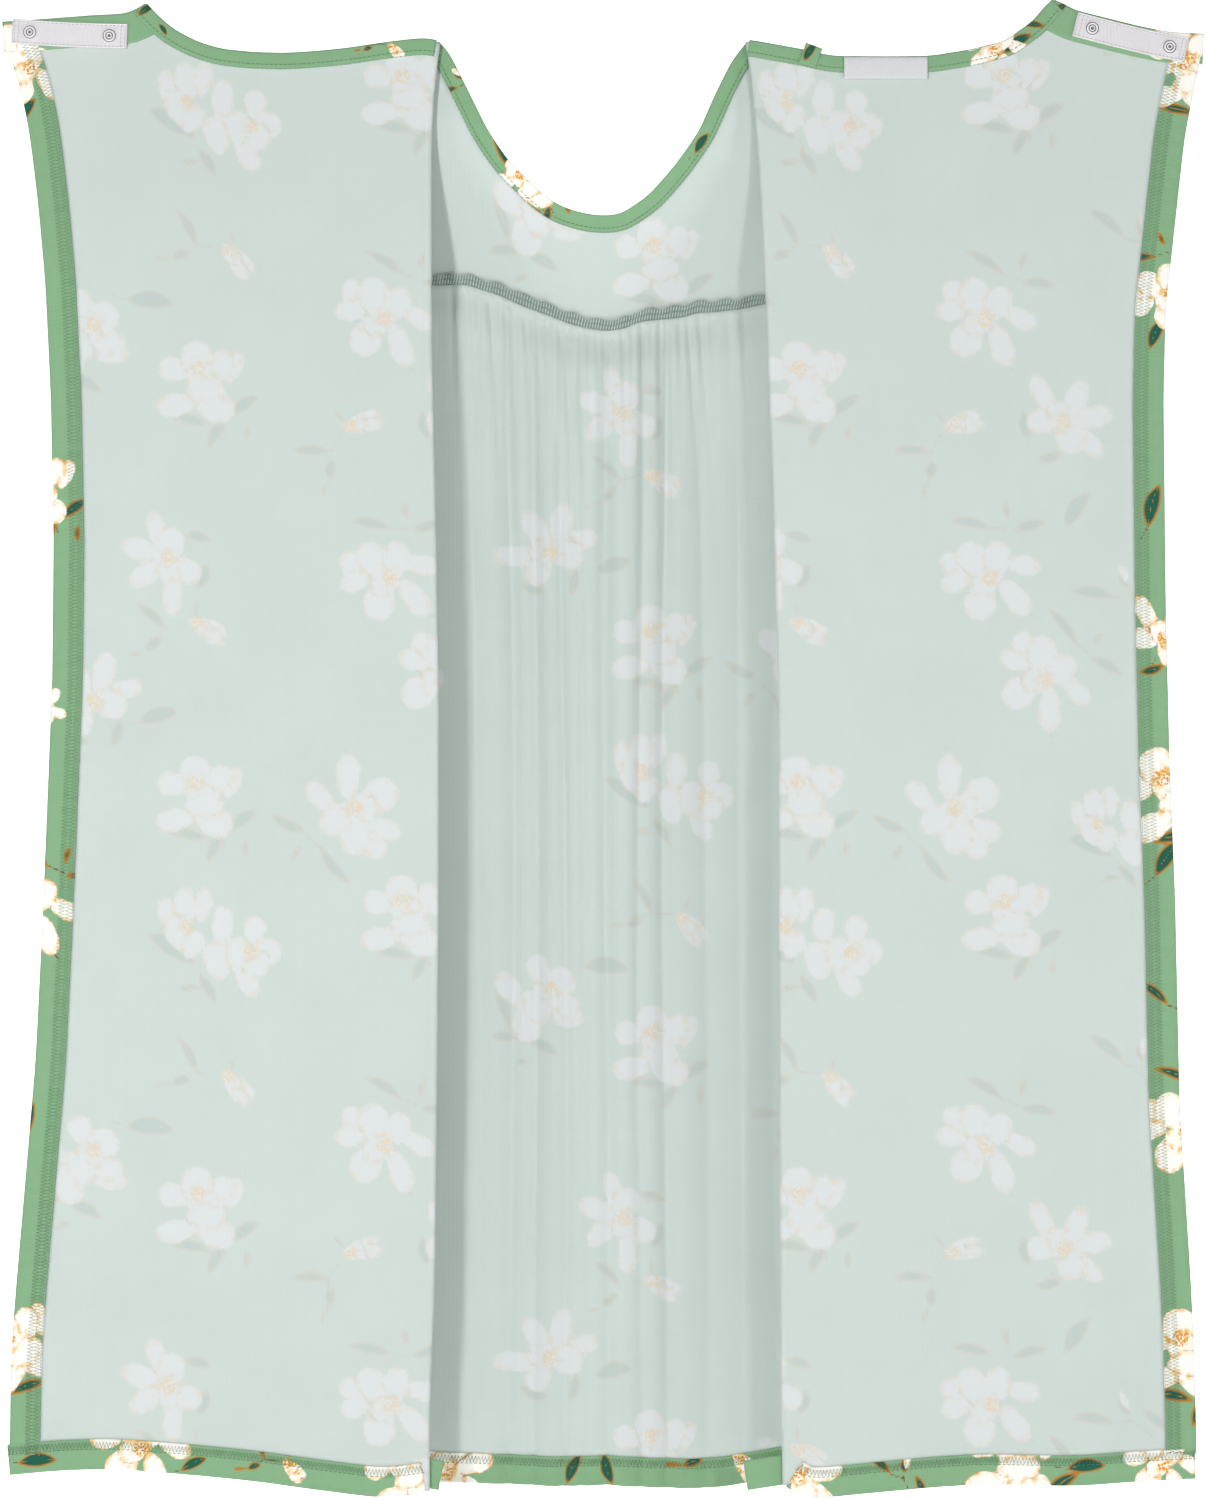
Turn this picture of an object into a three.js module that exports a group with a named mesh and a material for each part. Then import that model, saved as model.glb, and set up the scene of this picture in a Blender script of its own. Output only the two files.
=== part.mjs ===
// A patient gown of printed cotton jersey, hung by its shoulders and opened from behind, so that
// its inside shows. The front (yoke and gathered skirt) hangs at the back of the space. Each back
// panel is sewn to the front at its shoulder and side, comes round to the fold at the neck point,
// and lies folded outwards there. Millimetres, +X to the right, +Y away from the open side, +Z up.
import * as THREE from 'three';

// ---- Driving dimensions ------------------------------------------------------------------
const clothThickness = 1.2;      // jersey, as thick as it stands when hung
const trimWall = 0.9;            // one layer of facing, binding, tape or label
const clearance = 0.3;           // air between two layers that are sewn together
const bulgeClearance = 0.9;      // the same, where the layers lie on the rounded front
const gownLength = 1021;         // neck point to hem, at the folds of the back panels
const frontLength = 1029;        // the front hangs a little lower, in its middle
const sideLength = 1004;         // and the hem rises this high at the side seams
const shoulderLength = 101;      // neck point to shoulder end
const shoulderDrop = 25;         // how far the sewn shoulder slopes down along that length
const underarmDepth = 215;       // neck point down to the underarm
const underarmInset = 28;        // how far the armhole cuts in from the shoulder end
const hemHalfWidth = 215;        // middle to side seam, at the hem
const neckScoopDepth = 113;      // front neckline below the neck points
const seamDepth = 193;           // gathered seam below the neck points, at its lowest
const seamRise = 27;             // how much higher that seam ends at the sides
const frontSetBack = 58.5;       // how far the front hangs behind the back panels
const flatBelowShoulder = 45;    // the front starts to swing back this far down
const swingLength = 170;         // and has swung back fully after this much more
const armholeGape = 18;          // how far the armhole stands open
const bindingDepth = 10.5;       // neck and armhole binding
const facingWidth = 21;          // free edges of the back panels
const hemWidth = 20.5;           // all hems
const seamAllowance = 7;         // serged seams inside
const snapTapeLength = 82;
const snapTapeWidth = 18;
const snapPitch = 56;            // between the two snaps of one tape
const snapRadius = 5.3;
const snapHeight = 1.8;
const labelLength = 59;
const labelWidth = 15.5;
const tabLength = 14;            // loose end of the neck binding
const tabWidth = 15;

// The two sides of the gown. Reach is the distance from the middle line, rise is height above the
// neck points. Each list runs outwards or downwards along its edge.
const sides = {
  left: {
    sign: -1,
    foldTop: 116,
    foldFoot: 122,
    neck: [[0, 0], [50, -4], [108, -9.2], [170, -1.4], [198, 17], [206, 26]],
    shoulder: [[206, 26], [219, 18.5], [262, 14], [307, 13]],
    freeEdge: [[307, 13], [289, -56], [275, -188], [271, -400]],
    hemReach: 295.5,
    hemLift: [[0, 0], [0.12, -4], [0.42, 8], [0.75, 17], [1, 12.5]],
    tapeCentre: [259, 4.6],
    tapeTilt: 2.5,
  },
  right: {
    sign: 1,
    foldTop: 102,
    foldFoot: 127.6,
    neck: [[0, 0], [38, -5.5], [98, -11.6], [155, -7], [202, 13.4], [215.5, 28.7]],
    shoulder: [[215.5, 28.7], [229, 22.6], [277, 9], [321, 4.5]],
    freeEdge: [[321, 4.5], [310, -45], [298, -147], [292, -252]],
    hemReach: 289.4,
    hemLift: [[0, 4], [0.07, -4], [0.48, 6], [0.66, 5], [1, 10]],
    tapeCentre: [270, 2.2],
    tapeTilt: -14,
  },
};

// ---- Sizes that follow -------------------------------------------------------------------
// Layers from the open side to the far side: back panel, its hidden side, seam, front.
const panelBack = -(clearance + trimWall + clearance);
const panelFace = panelBack - clothThickness;
const sideFace = -panelBack;
const sideBack = sideFace + clothThickness;
const frontFace = sideBack + clearance + trimWall + clearance + trimWall + bulgeClearance;

// How finely the edges are stepped. A trim takes the same steps as the cloth under it.
const steps = { sideOfNeck: 7, frontNeck: 20, armholeOfYoke: 14, armholeOfSkirt: 6, sideSeam: 10,
  backNeck: 16, backShoulder: 5, backRows: 8 };
const frontColumns = steps.frontNeck + 2 * steps.sideOfNeck;

// ---- Materials ---------------------------------------------------------------------------
function finish(color, roughness) {
  return new THREE.MeshStandardMaterial({ color, roughness, metalness: 0 });
}
const jerseyInside = () => finish('#cfd9d4', 0.9);
const jerseyOutside = () => finish('#8cb58e', 0.85);
const serging = () => finish('#b9c9c0', 0.95);
const cottonTape = () => finish('#ece9ef', 0.8);
const satinLabel = () => finish('#e6e6ea', 0.45);
const snapPlastic = () => finish('#f4f3f3', 0.4);

// ---- Geometry helpers --------------------------------------------------------------------
// A closed body from vertices and triangles, turned so that its faces point outwards.
function closedBody(points, triangles) {
  let volume = 0;
  for (const [a, b, c] of triangles) {
    volume += points[a].dot(points[b].clone().cross(points[c]));
  }
  const turned = volume < 0 ? triangles.map(([a, b, c]) => [a, c, b]) : triangles;
  const geometry = new THREE.BufferGeometry().setFromPoints(points);
  geometry.setIndex(turned.flat());
  return geometry;
}

// A smooth curve through [reach, rise] points, read by the share of the way along it.
function smoothLine(points) {
  const curve = new THREE.SplineCurve(points.map(([reach, rise]) => new THREE.Vector2(reach, rise)));
  return (share) => curve.getPointAt(THREE.MathUtils.clamp(share, 0, 1));
}

function straightLine(from, to) {
  const start = new THREE.Vector2(...from);
  const end = new THREE.Vector2(...to);
  return (share) => start.clone().lerp(end, share);
}

// Several lines one after another, each given its own part of the whole share.
function chained(pieces) {
  const total = pieces.reduce((sum, [, steps]) => sum + steps, 0);
  return (share) => {
    let position = THREE.MathUtils.clamp(share, 0, 1) * total;
    for (const [line, steps] of pieces.slice(0, -1)) {
      if (position <= steps) return line(position / steps);
      position -= steps;
    }
    const [lastLine, lastSteps] = pieces[pieces.length - 1];
    return lastLine(position / lastSteps);
  };
}

// A sheet between four edge lines that meet at the corners, from inner to outer and top to
// bottom. face(reach, rise) is the height of its open side; it is one cloth thick behind that.
function clothSheet({ top, bottom, inner, outer, across, down, face, sign }) {
  const points = [];
  for (const offset of [0, clothThickness]) {
    for (let row = 0; row <= down; row += 1) {
      for (let column = 0; column <= across; column += 1) {
        const u = column / across;
        const v = row / down;
        const flat = top(u).multiplyScalar(1 - v)
          .add(bottom(u).multiplyScalar(v))
          .add(inner(v).multiplyScalar(1 - u))
          .add(outer(v).multiplyScalar(u))
          .sub(top(0).multiplyScalar((1 - u) * (1 - v)))
          .sub(top(1).multiplyScalar(u * (1 - v)))
          .sub(bottom(0).multiplyScalar((1 - u) * v))
          .sub(bottom(1).multiplyScalar(u * v));
        points.push(new THREE.Vector3(sign * flat.x, face(flat.x, flat.y) + offset, flat.y));
      }
    }
  }
  const rowLength = across + 1;
  const layer = rowLength * (down + 1);
  const triangles = [];
  for (let row = 0; row < down; row += 1) {
    for (let column = 0; column < across; column += 1) {
      const a = row * rowLength + column;
      const b = a + 1;
      const c = b + rowLength;
      const d = a + rowLength;
      triangles.push([a, d, c], [a, c, b]);
      triangles.push([a + layer, c + layer, d + layer], [a + layer, b + layer, c + layer]);
    }
  }
  const rim = [];
  for (let column = 0; column < across; column += 1) rim.push(column);
  for (let row = 0; row < down; row += 1) rim.push(row * rowLength + across);
  for (let column = across; column > 0; column -= 1) rim.push(down * rowLength + column);
  for (let row = down; row > 0; row -= 1) rim.push(row * rowLength);
  rim.forEach((here, index) => {
    const next = rim[(index + 1) % rim.length];
    triangles.push([here, next, next + layer], [here, next + layer, here + layer]);
  });
  return closedBody(points, triangles);
}

// A section carried along stations. place(station, corner) gives each corner its place.
function carriedSection(section, stations, place) {
  const points = [];
  for (let station = 0; station <= stations; station += 1) {
    for (const corner of section) points.push(place(station / stations, corner));
  }
  const corners = section.length;
  const triangles = [];
  for (let station = 0; station < stations; station += 1) {
    for (let corner = 0; corner < corners; corner += 1) {
      const a = station * corners + corner;
      const b = station * corners + ((corner + 1) % corners);
      triangles.push([a, b, b + corners], [a, b + corners, a + corners]);
    }
  }
  const contour = section.map(([along, height]) => new THREE.Vector2(along, height));
  const last = stations * corners;
  for (const [a, second, third] of THREE.ShapeUtils.triangulateShape(contour, [])) {
    const [b, c] = THREE.ShapeUtils.isClockWise(contour) ? [third, second] : [second, third];
    triangles.push([a, c, b], [a + last, b + last, c + last]);
  }
  return closedBody(points, triangles);
}

// A trim carried along an edge line. Its section is in [distance into the cloth, height above
// the cloth's open side]; towards is a [reach, rise] point on the cloth's side of the edge.
function alongEdge({ line, from = 0, to = 1, stations, section, face, towards, sign }) {
  const step = 1e-4;
  return carriedSection(section, stations, (share, [depth, height]) => {
    const at = from + (to - from) * share;
    const point = line(at);
    const tangent = line(Math.min(at + step, 1)).sub(line(Math.max(at - step, 0))).normalize();
    const inwards = new THREE.Vector2(-tangent.y, tangent.x);
    if (inwards.dot(new THREE.Vector2(...towards).sub(point)) < 0) inwards.negate();
    const flat = point.addScaledVector(inwards, depth);
    return new THREE.Vector3(sign * flat.x, face(flat.x, flat.y) + height, flat.y);
  });
}

// The two ways in which a trim meets cloth: folded round its edge, or laid on its open side.
function roundTheEdge(depth, gap) {
  const near = -gap - trimWall;
  const far = clothThickness + gap + trimWall;
  return [[depth, near], [near, near], [near, far], [depth, far],
    [depth, far - trimWall], [-gap, far - trimWall], [-gap, -gap], [depth, -gap]];
}

function laidOn(fromDepth, toDepth, near, far) {
  return [[fromDepth, near], [toDepth, near], [toDepth, far], [fromDepth, far]];
}

const onPanel = () => panelFace;
const onSide = () => sideFace;

// ---- The front's shape -------------------------------------------------------------------
const leftNeck = sides.left.foldTop;
const rightNeck = sides.right.foldTop;

function shoulderEnd(side) {
  return [side.foldTop + shoulderLength, -shoulderDrop];
}

function armholeLine(side) {
  const [tipReach, tipRise] = shoulderEnd(side);
  const middleRise = (tipRise - underarmDepth) / 2;
  return smoothLine([
    [tipReach, tipRise],
    [tipReach - underarmInset * 0.55, middleRise + 45],
    [tipReach - underarmInset * 0.95, middleRise - 20],
    [tipReach - underarmInset, -underarmDepth],
  ]);
}

function sideSeamLine(side) {
  return straightLine([side.foldTop + shoulderLength - underarmInset, -underarmDepth],
    [hemHalfWidth, -sideLength]);
}

const frontHemLine = smoothLine([
  [-hemHalfWidth, -sideLength],
  [-leftNeck, -frontLength + 5],
  [0, -frontLength],
  [leftNeck, -frontLength + 5],
  [hemHalfWidth, -sideLength],
]);

// Where the front ends at a given height: its armhole edge, or its side seam below that.
function frontEndReach(side, rise) {
  if (rise <= -underarmDepth) {
    const share = (-rise - underarmDepth) / (sideLength - underarmDepth);
    return sideSeamLine(side)(Math.min(share, 1)).x;
  }
  const line = armholeLine(side);
  let low = 0;
  let high = 1;
  for (let halving = 0; halving < 24; halving += 1) {
    const middle = (low + high) / 2;
    if (line(middle).y > rise) low = middle;
    else high = middle;
  }
  return line(low).x;
}

// The open side of the front: flat behind the shoulders, then swinging back, most of all in the
// middle, and standing away from the back panel at the armholes. Reach is signed here.
function frontOpenSide(x, rise) {
  const side = x < 0 ? sides.left : sides.right;
  const share = Math.min(Math.abs(x) / frontEndReach(side, rise), 1);
  const down = THREE.MathUtils.smoothstep(-rise - flatBelowShoulder, 0, swingLength);
  const armholeShare = (-rise - flatBelowShoulder) / (underarmDepth - flatBelowShoulder);
  const inArmhole = THREE.MathUtils.clamp(armholeShare, 0, 1);
  const gape = armholeGape * Math.sin(Math.PI * inArmhole) ** 2;
  const hold = share ** 3;
  return frontFace + frontSetBack * down * (1 - hold) + gape * hold;
}

const signed = (side, line) => (share) => {
  const point = line(share);
  return new THREE.Vector2(side.sign * point.x, point.y);
};
const reversed = (line) => (share) => line(1 - share);

// The part of an armhole line that lies above or below the gathered seam.
function shareAtRise(line, rise) {
  let low = 0;
  let high = 1;
  for (let halving = 0; halving < 24; halving += 1) {
    const middle = (low + high) / 2;
    if (line(middle).y > rise) low = middle;
    else high = middle;
  }
  return low;
}
const partOf = (line, from, to) => (share) => line(from + (to - from) * share);

const seamEndRise = -(seamDepth - seamRise);
const seamEnds = {};
for (const [name, side] of Object.entries(sides)) {
  const line = armholeLine(side);
  const share = shareAtRise(line, seamEndRise);
  seamEnds[name] = { share, reach: line(share).x };
}

const neckMiddle = (rightNeck - leftNeck) / 2;
const neckHalf = (rightNeck + leftNeck) / 2;
const frontNeckLine = smoothLine([
  [-leftNeck, 0],
  [neckMiddle - neckHalf * 0.74, -neckScoopDepth * 0.42],
  [neckMiddle - neckHalf * 0.46, -neckScoopDepth * 0.82],
  [neckMiddle, -neckScoopDepth],
  [neckMiddle + neckHalf * 0.46, -neckScoopDepth * 0.86],
  [neckMiddle + neckHalf * 0.78, -neckScoopDepth * 0.42],
  [rightNeck, 0],
]);

// The gathered seam dips in the middle. lift moves the whole line up.
function gatherLine(lift) {
  const low = -seamDepth + lift;
  return chained([
    [smoothLine([[-seamEnds.left.reach, low + seamRise], [-leftNeck, low + seamRise - 1]]),
      steps.sideOfNeck],
    [smoothLine([
      [-leftNeck, low + seamRise - 1],
      [-leftNeck * 0.6, low + seamRise * 0.66],
      [0, low],
      [rightNeck * 0.45, low + seamRise * 0.3],
      [rightNeck, low + seamRise * 0.65],
    ]), steps.frontNeck],
    [smoothLine([[rightNeck, low + seamRise * 0.65], [seamEnds.right.reach, low + seamRise]]),
      steps.sideOfNeck],
  ]);
}

// ---- Front pieces ------------------------------------------------------------------------
function frontYoke() {
  const shoulders = {};
  for (const [name, side] of Object.entries(sides)) {
    shoulders[name] = signed(side, straightLine([side.foldTop, 0], shoulderEnd(side)));
  }
  const leftArmhole = signed(sides.left, partOf(armholeLine(sides.left), 0, seamEnds.left.share));
  const rightArmhole = signed(sides.right, partOf(armholeLine(sides.right), 0, seamEnds.right.share));
  return clothSheet({
    top: chained([[reversed(shoulders.left), steps.sideOfNeck], [frontNeckLine, steps.frontNeck],
      [shoulders.right, steps.sideOfNeck]]),
    bottom: gatherLine(0),
    inner: leftArmhole,
    outer: rightArmhole,
    across: frontColumns,
    down: steps.armholeOfYoke,
    face: frontOpenSide,
    sign: 1,
  });
}

function frontSkirt() {
  const ends = {};
  for (const [name, side] of Object.entries(sides)) {
    const line = armholeLine(side);
    const from = shareAtRise(line, seamEndRise - clearance);
    const top = partOf(line, from, 1);
    ends[name] = signed(side, chained([[top, steps.armholeOfSkirt],
      [sideSeamLine(side), steps.sideSeam]]));
  }
  const seamTop = gatherLine(-clearance);
  const corner = { left: ends.left(0), right: ends.right(0) };
  return clothSheet({
    top: (share) => {
      if (share <= 0) return corner.left.clone();
      if (share >= 1) return corner.right.clone();
      return seamTop(share);
    },
    bottom: frontHemLine,
    inner: ends.left,
    outer: ends.right,
    across: frontColumns,
    down: steps.armholeOfSkirt + steps.sideSeam,
    face: frontOpenSide,
    sign: 1,
  });
}

function gatherSeam() {
  return alongEdge({
    line: gatherLine(0),
    from: 2 / frontColumns,
    to: 1 - 2 / frontColumns,
    stations: frontColumns - 4,
    section: laidOn(-1, seamAllowance, -bulgeClearance - trimWall, -bulgeClearance),
    face: frontOpenSide,
    towards: [0, 5000],
    sign: 1,
  });
}

function frontNeckBinding() {
  return alongEdge({
    line: frontNeckLine,
    stations: steps.frontNeck,
    section: roundTheEdge(bindingDepth, bulgeClearance),
    face: frontOpenSide,
    towards: [neckMiddle, -5000],
    sign: 1,
  });
}

function frontHemFacing() {
  return alongEdge({
    line: frontHemLine,
    from: 1 / frontColumns,
    to: 1 - 1 / frontColumns,
    stations: frontColumns - 2,
    section: laidOn(0, hemWidth, -bulgeClearance - trimWall, -bulgeClearance),
    face: frontOpenSide,
    towards: [0, 0],
    sign: 1,
  });
}

// ---- Hidden side of each back panel, from its fold round to the side seam ----------------
// Its section is an L: the cloth itself, and the turn of the fold at its inner edge.
function backSide(side) {
  const armhole = armholeLine(side);
  const rows = steps.armholeOfYoke + steps.sideSeam;
  const outerLine = chained([[armhole, steps.armholeOfYoke],
    [sideSeamLine(side), steps.sideSeam]]);
  const section = [[-1, panelFace], [0, panelFace], [0, sideFace], [1, sideFace],
    [1, sideBack], [-1, sideBack]];
  return carriedSection(section, rows, (share, [column, height]) => {
    const outer = outerLine(share);
    const rowShare = share <= 0 ? 0 : -outer.y / sideLength;
    const foldRise = -gownLength * rowShare;
    const foldReach = THREE.MathUtils.lerp(side.foldTop, side.foldFoot, rowShare);
    if (column > 0) return new THREE.Vector3(side.sign * outer.x, height, outer.y);
    const reach = foldReach + column * clothThickness;
    return new THREE.Vector3(side.sign * reach, height, foldRise);
  });
}

function sideSeam(side) {
  return alongEdge({
    line: sideSeamLine(side),
    from: 0.03,
    to: 0.97,
    stations: 2,
    section: laidOn(0.5, seamAllowance, sideBack + clearance, frontFace - clearance),
    face: () => 0,
    towards: [0, -underarmDepth],
    sign: side.sign,
  });
}

function shoulderSeam(side) {
  const [tipReach, tipRise] = shoulderEnd(side);
  return alongEdge({
    line: straightLine([side.foldTop, 0], [tipReach, tipRise]),
    from: (bindingDepth + 4) / shoulderLength,
    to: 1 - (bindingDepth + 6) / shoulderLength,
    stations: 1,
    section: laidOn(0.5, seamAllowance, sideBack + clearance, frontFace - clearance),
    face: () => 0,
    towards: [side.foldTop, -5000],
    sign: side.sign,
  });
}

function armholeBindingBack(side) {
  return alongEdge({
    line: armholeLine(side),
    stations: steps.armholeOfYoke,
    section: roundTheEdge(bindingDepth, clearance),
    face: onSide,
    towards: [0, -underarmDepth / 2],
    sign: side.sign,
  });
}

function armholeBindingFront(name) {
  const side = sides[name];
  const armhole = armholeLine(side);
  const { share } = seamEnds[name];
  return alongEdge({
    line: chained([[partOf(armhole, 0, share), steps.armholeOfYoke],
      [partOf(armhole, share, 1), steps.armholeOfSkirt]]),
    stations: steps.armholeOfYoke + steps.armholeOfSkirt,
    section: roundTheEdge(bindingDepth, bulgeClearance),
    face: (reach, rise) => frontOpenSide(side.sign * reach, rise),
    towards: [0, -underarmDepth / 2],
    sign: side.sign,
  });
}

function sideHemFacing(side) {
  return alongEdge({
    line: straightLine([side.foldFoot, -gownLength], [hemHalfWidth, -sideLength]),
    from: 0.02,
    to: 1 - (seamAllowance + 4) / (hemHalfWidth - side.foldFoot),
    stations: 1,
    section: laidOn(0, hemWidth, sideBack + clearance, sideBack + clearance + trimWall),
    face: () => 0,
    towards: [side.foldFoot, 0],
    sign: side.sign,
  });
}

// ---- Folded-out back panels --------------------------------------------------------------
function outline(side) {
  const fromFold = ([along, rise]) => [side.foldTop + along, rise];
  const hemEnd = side.hemLift[side.hemLift.length - 1][1] - gownLength;
  const foldLine = (share) => new THREE.Vector2(
    THREE.MathUtils.lerp(side.foldTop, side.foldFoot, share) + clearance,
    THREE.MathUtils.lerp(0, side.hemLift[0][1] - gownLength, share),
  );
  const neck = smoothLine(side.neck.map(([along, rise], index) => (
    index === 0 ? [side.foldTop + clearance, rise] : fromFold([along, rise]))));
  const shoulder = smoothLine(side.shoulder.map(fromFold));
  const freeEdge = smoothLine([...side.freeEdge.map(fromFold),
    [side.foldFoot + side.hemReach, hemEnd]]);
  const hem = smoothLine(side.hemLift.map(([share, lift]) => (
    [side.foldFoot + clearance + share * (side.hemReach - clearance), lift - gownLength])));
  return { neck, shoulder, freeEdge, hem, foldLine };
}

function backPanel(side) {
  const { neck, shoulder, freeEdge, hem, foldLine } = outline(side);
  return clothSheet({
    top: chained([[neck, steps.backNeck], [shoulder, steps.backShoulder]]),
    bottom: hem,
    inner: foldLine,
    outer: freeEdge,
    across: steps.backNeck + steps.backShoulder,
    down: steps.backRows,
    face: onPanel,
    sign: side.sign,
  });
}

function backNeckBinding(side) {
  return alongEdge({
    line: partOf(outline(side).neck, 1 / steps.backNeck / 4, 1),
    stations: steps.backNeck,
    section: roundTheEdge(bindingDepth, clearance),
    face: onPanel,
    towards: [side.foldTop, -5000],
    sign: side.sign,
  });
}

const firstTrim = [-clearance - trimWall, -clearance];
const secondTrim = firstTrim.map((height) => height - clearance - trimWall);

// The green reinforcement under the snap tape, from the neck binding to the shoulder end.
function shoulderFacing(side) {
  return alongEdge({
    line: outline(side).shoulder,
    from: (bindingDepth + 3) / shoulderLength,
    to: 1,
    stations: 8,
    section: laidOn(0, snapTapeWidth + 2, ...firstTrim),
    face: onPanel,
    towards: [side.foldTop + 200, -5000],
    sign: side.sign,
  });
}

function edgeFacing(side) {
  const { freeEdge } = outline(side);
  const below = shareAtRise(freeEdge, freeEdge(0).y - snapTapeWidth - 10);
  const above = shareAtRise(freeEdge, freeEdge(1).y + hemWidth + 5);
  return alongEdge({
    line: freeEdge,
    from: below,
    to: above,
    stations: 22,
    section: laidOn(0, facingWidth, ...firstTrim),
    face: onPanel,
    towards: [0, -gownLength / 2],
    sign: side.sign,
  });
}

function hemFacing(side) {
  return alongEdge({
    line: outline(side).hem,
    stations: 18,
    section: laidOn(0, hemWidth, ...firstTrim),
    face: onPanel,
    towards: [side.foldFoot + side.hemReach / 2, 0],
    sign: side.sign,
  });
}

function boxBetween(length, width, [near, far]) {
  const geometry = new THREE.BoxGeometry(length, far - near, width);
  geometry.translate(0, (near + far) / 2, 0);
  return geometry;
}

// ---- Snaps -------------------------------------------------------------------------------
// Ring snaps: a raised ring round a shallow well with the point of the pin in its middle.
function snapRing() {
  const base = snapHeight * 0.35;
  const profile = [[0, 0], [snapRadius, 0], [snapRadius, base], [snapRadius * 0.87, snapHeight],
    [snapRadius * 0.56, snapHeight], [snapRadius * 0.5, base], [snapRadius * 0.22, base],
    [snapRadius * 0.18, snapHeight * 0.8], [0, snapHeight * 0.8]];
  return new THREE.LatheGeometry(profile.map(([radius, height]) => new THREE.Vector2(radius, height)), 12);
}

function snapCap() {
  const profile = [[0, 0], [snapRadius, 0], [snapRadius * 0.85, trimWall], [0, trimWall]];
  return new THREE.LatheGeometry(profile.map(([radius, height]) => new THREE.Vector2(radius, height)), 12);
}

// ---- Assembly ----------------------------------------------------------------------------
const gown = new THREE.Group();
gown.name = 'patient_gown';

function add(name, geometry, material, parent = gown) {
  const mesh = new THREE.Mesh(geometry, material);
  mesh.name = name;
  parent.add(mesh);
  return mesh;
}

// A tape with two snaps through it: rings on the tape, caps on the far side of the cloth.
// facing is 1 where the rings look away from the open side, and -1 where they look at it.
function addSnapTape({ prefix, centre, tilt, length, tapeLayer, ringHeight, capHeight, facing, side }) {
  const group = new THREE.Group();
  group.position.set(side.sign * centre[0], 0, centre[1]);
  group.rotation.y = -side.sign * THREE.MathUtils.degToRad(tilt);
  gown.add(group);
  add(`${prefix}_snap_tape`, boxBetween(length, snapTapeWidth, tapeLayer), cottonTape(), group);
  const places = { inner: -side.sign * snapPitch / 2, outer: side.sign * snapPitch / 2 };
  for (const [place, x] of Object.entries(places)) {
    const ring = add(`${prefix}_snap_ring_${place}`, snapRing(), snapPlastic(), group);
    ring.position.set(x, ringHeight, 0);
    const cap = add(`${prefix}_snap_cap_${place}`, snapCap(), snapPlastic(), group);
    cap.position.set(x, capHeight, 0);
    if (facing < 0) ring.rotation.x = Math.PI;
    else cap.rotation.x = Math.PI;
  }
}

add('front_yoke', frontYoke(), jerseyInside());
add('front_skirt', frontSkirt(), jerseyInside());
add('gather_seam', gatherSeam(), serging());
add('front_neck_binding', frontNeckBinding(), jerseyOutside());
add('front_hem_facing', frontHemFacing(), jerseyOutside());

for (const [name, side] of Object.entries(sides)) {
  add(`${name}_back_side`, backSide(side), jerseyInside());
  add(`${name}_side_seam`, sideSeam(side), serging());
  add(`${name}_shoulder_seam`, shoulderSeam(side), serging());
  add(`${name}_armhole_binding_back`, armholeBindingBack(side), jerseyOutside());
  add(`${name}_armhole_binding_front`, armholeBindingFront(name), jerseyOutside());
  add(`${name}_side_hem_facing`, sideHemFacing(side), jerseyOutside());
  add(`${name}_back_panel`, backPanel(side), jerseyInside());
  add(`${name}_back_neck_binding`, backNeckBinding(side), jerseyOutside());
  add(`${name}_shoulder_facing`, shoulderFacing(side), jerseyOutside());
  add(`${name}_edge_facing`, edgeFacing(side), jerseyOutside());
  add(`${name}_hem_facing`, hemFacing(side), jerseyOutside());

  const tapeFace = panelFace + secondTrim[0];
  addSnapTape({
    prefix: `${name}_back`,
    centre: [side.foldTop + side.tapeCentre[0], side.tapeCentre[1]],
    tilt: side.tapeTilt,
    length: snapTapeLength,
    tapeLayer: secondTrim.map((height) => panelFace + height),
    ringHeight: tapeFace - clearance,
    capHeight: panelBack + clearance,
    facing: -1,
    side,
  });

  // The mating tape lies on the outside of the front, just below the sewn shoulder.
  const slope = Math.atan2(shoulderDrop, shoulderLength);
  const frontTapeLength = snapPitch + 2 * snapRadius + 2;
  const frontBack = frontFace + clothThickness;
  const along = shoulderLength / 2;
  const below = seamAllowance + snapTapeWidth / 2 - 1;
  addSnapTape({
    prefix: `${name}_front`,
    centre: [side.foldTop + along * Math.cos(slope), -along * Math.sin(slope) - below],
    tilt: -THREE.MathUtils.radToDeg(slope),
    length: frontTapeLength,
    tapeLayer: [frontBack + clearance, frontBack + clearance + trimWall],
    ringHeight: frontBack + 2 * clearance + trimWall,
    capHeight: frontFace - clearance,
    facing: 1,
    side,
  });
}

// The blank label hangs from the right neck binding, and the binding's loose end stands by it.
const labelLayer = secondTrim.map((height) => panelFace + height);
const label = add('neck_label', boxBetween(labelLength, labelWidth, labelLayer), satinLabel());
label.position.set(rightNeck + 97, 0, -19);
const tab = add('neck_binding_end_tab', boxBetween(tabLength, tabWidth, labelLayer), jerseyOutside());
tab.position.set(rightNeck + 44, 0, -12);
tab.rotation.y = THREE.MathUtils.degToRad(20);

export default gown;
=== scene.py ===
# %% [markdown]
# # A patient gown, opened from behind
# The real gown is cut from one printed cotton jersey: green with magnolias on the right side,
# pale on the wrong side. It hangs with its inside towards us. Everything here is made in the
# frame of the fixed model: metres, +X right, +Y away from us, +Z up.

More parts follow.
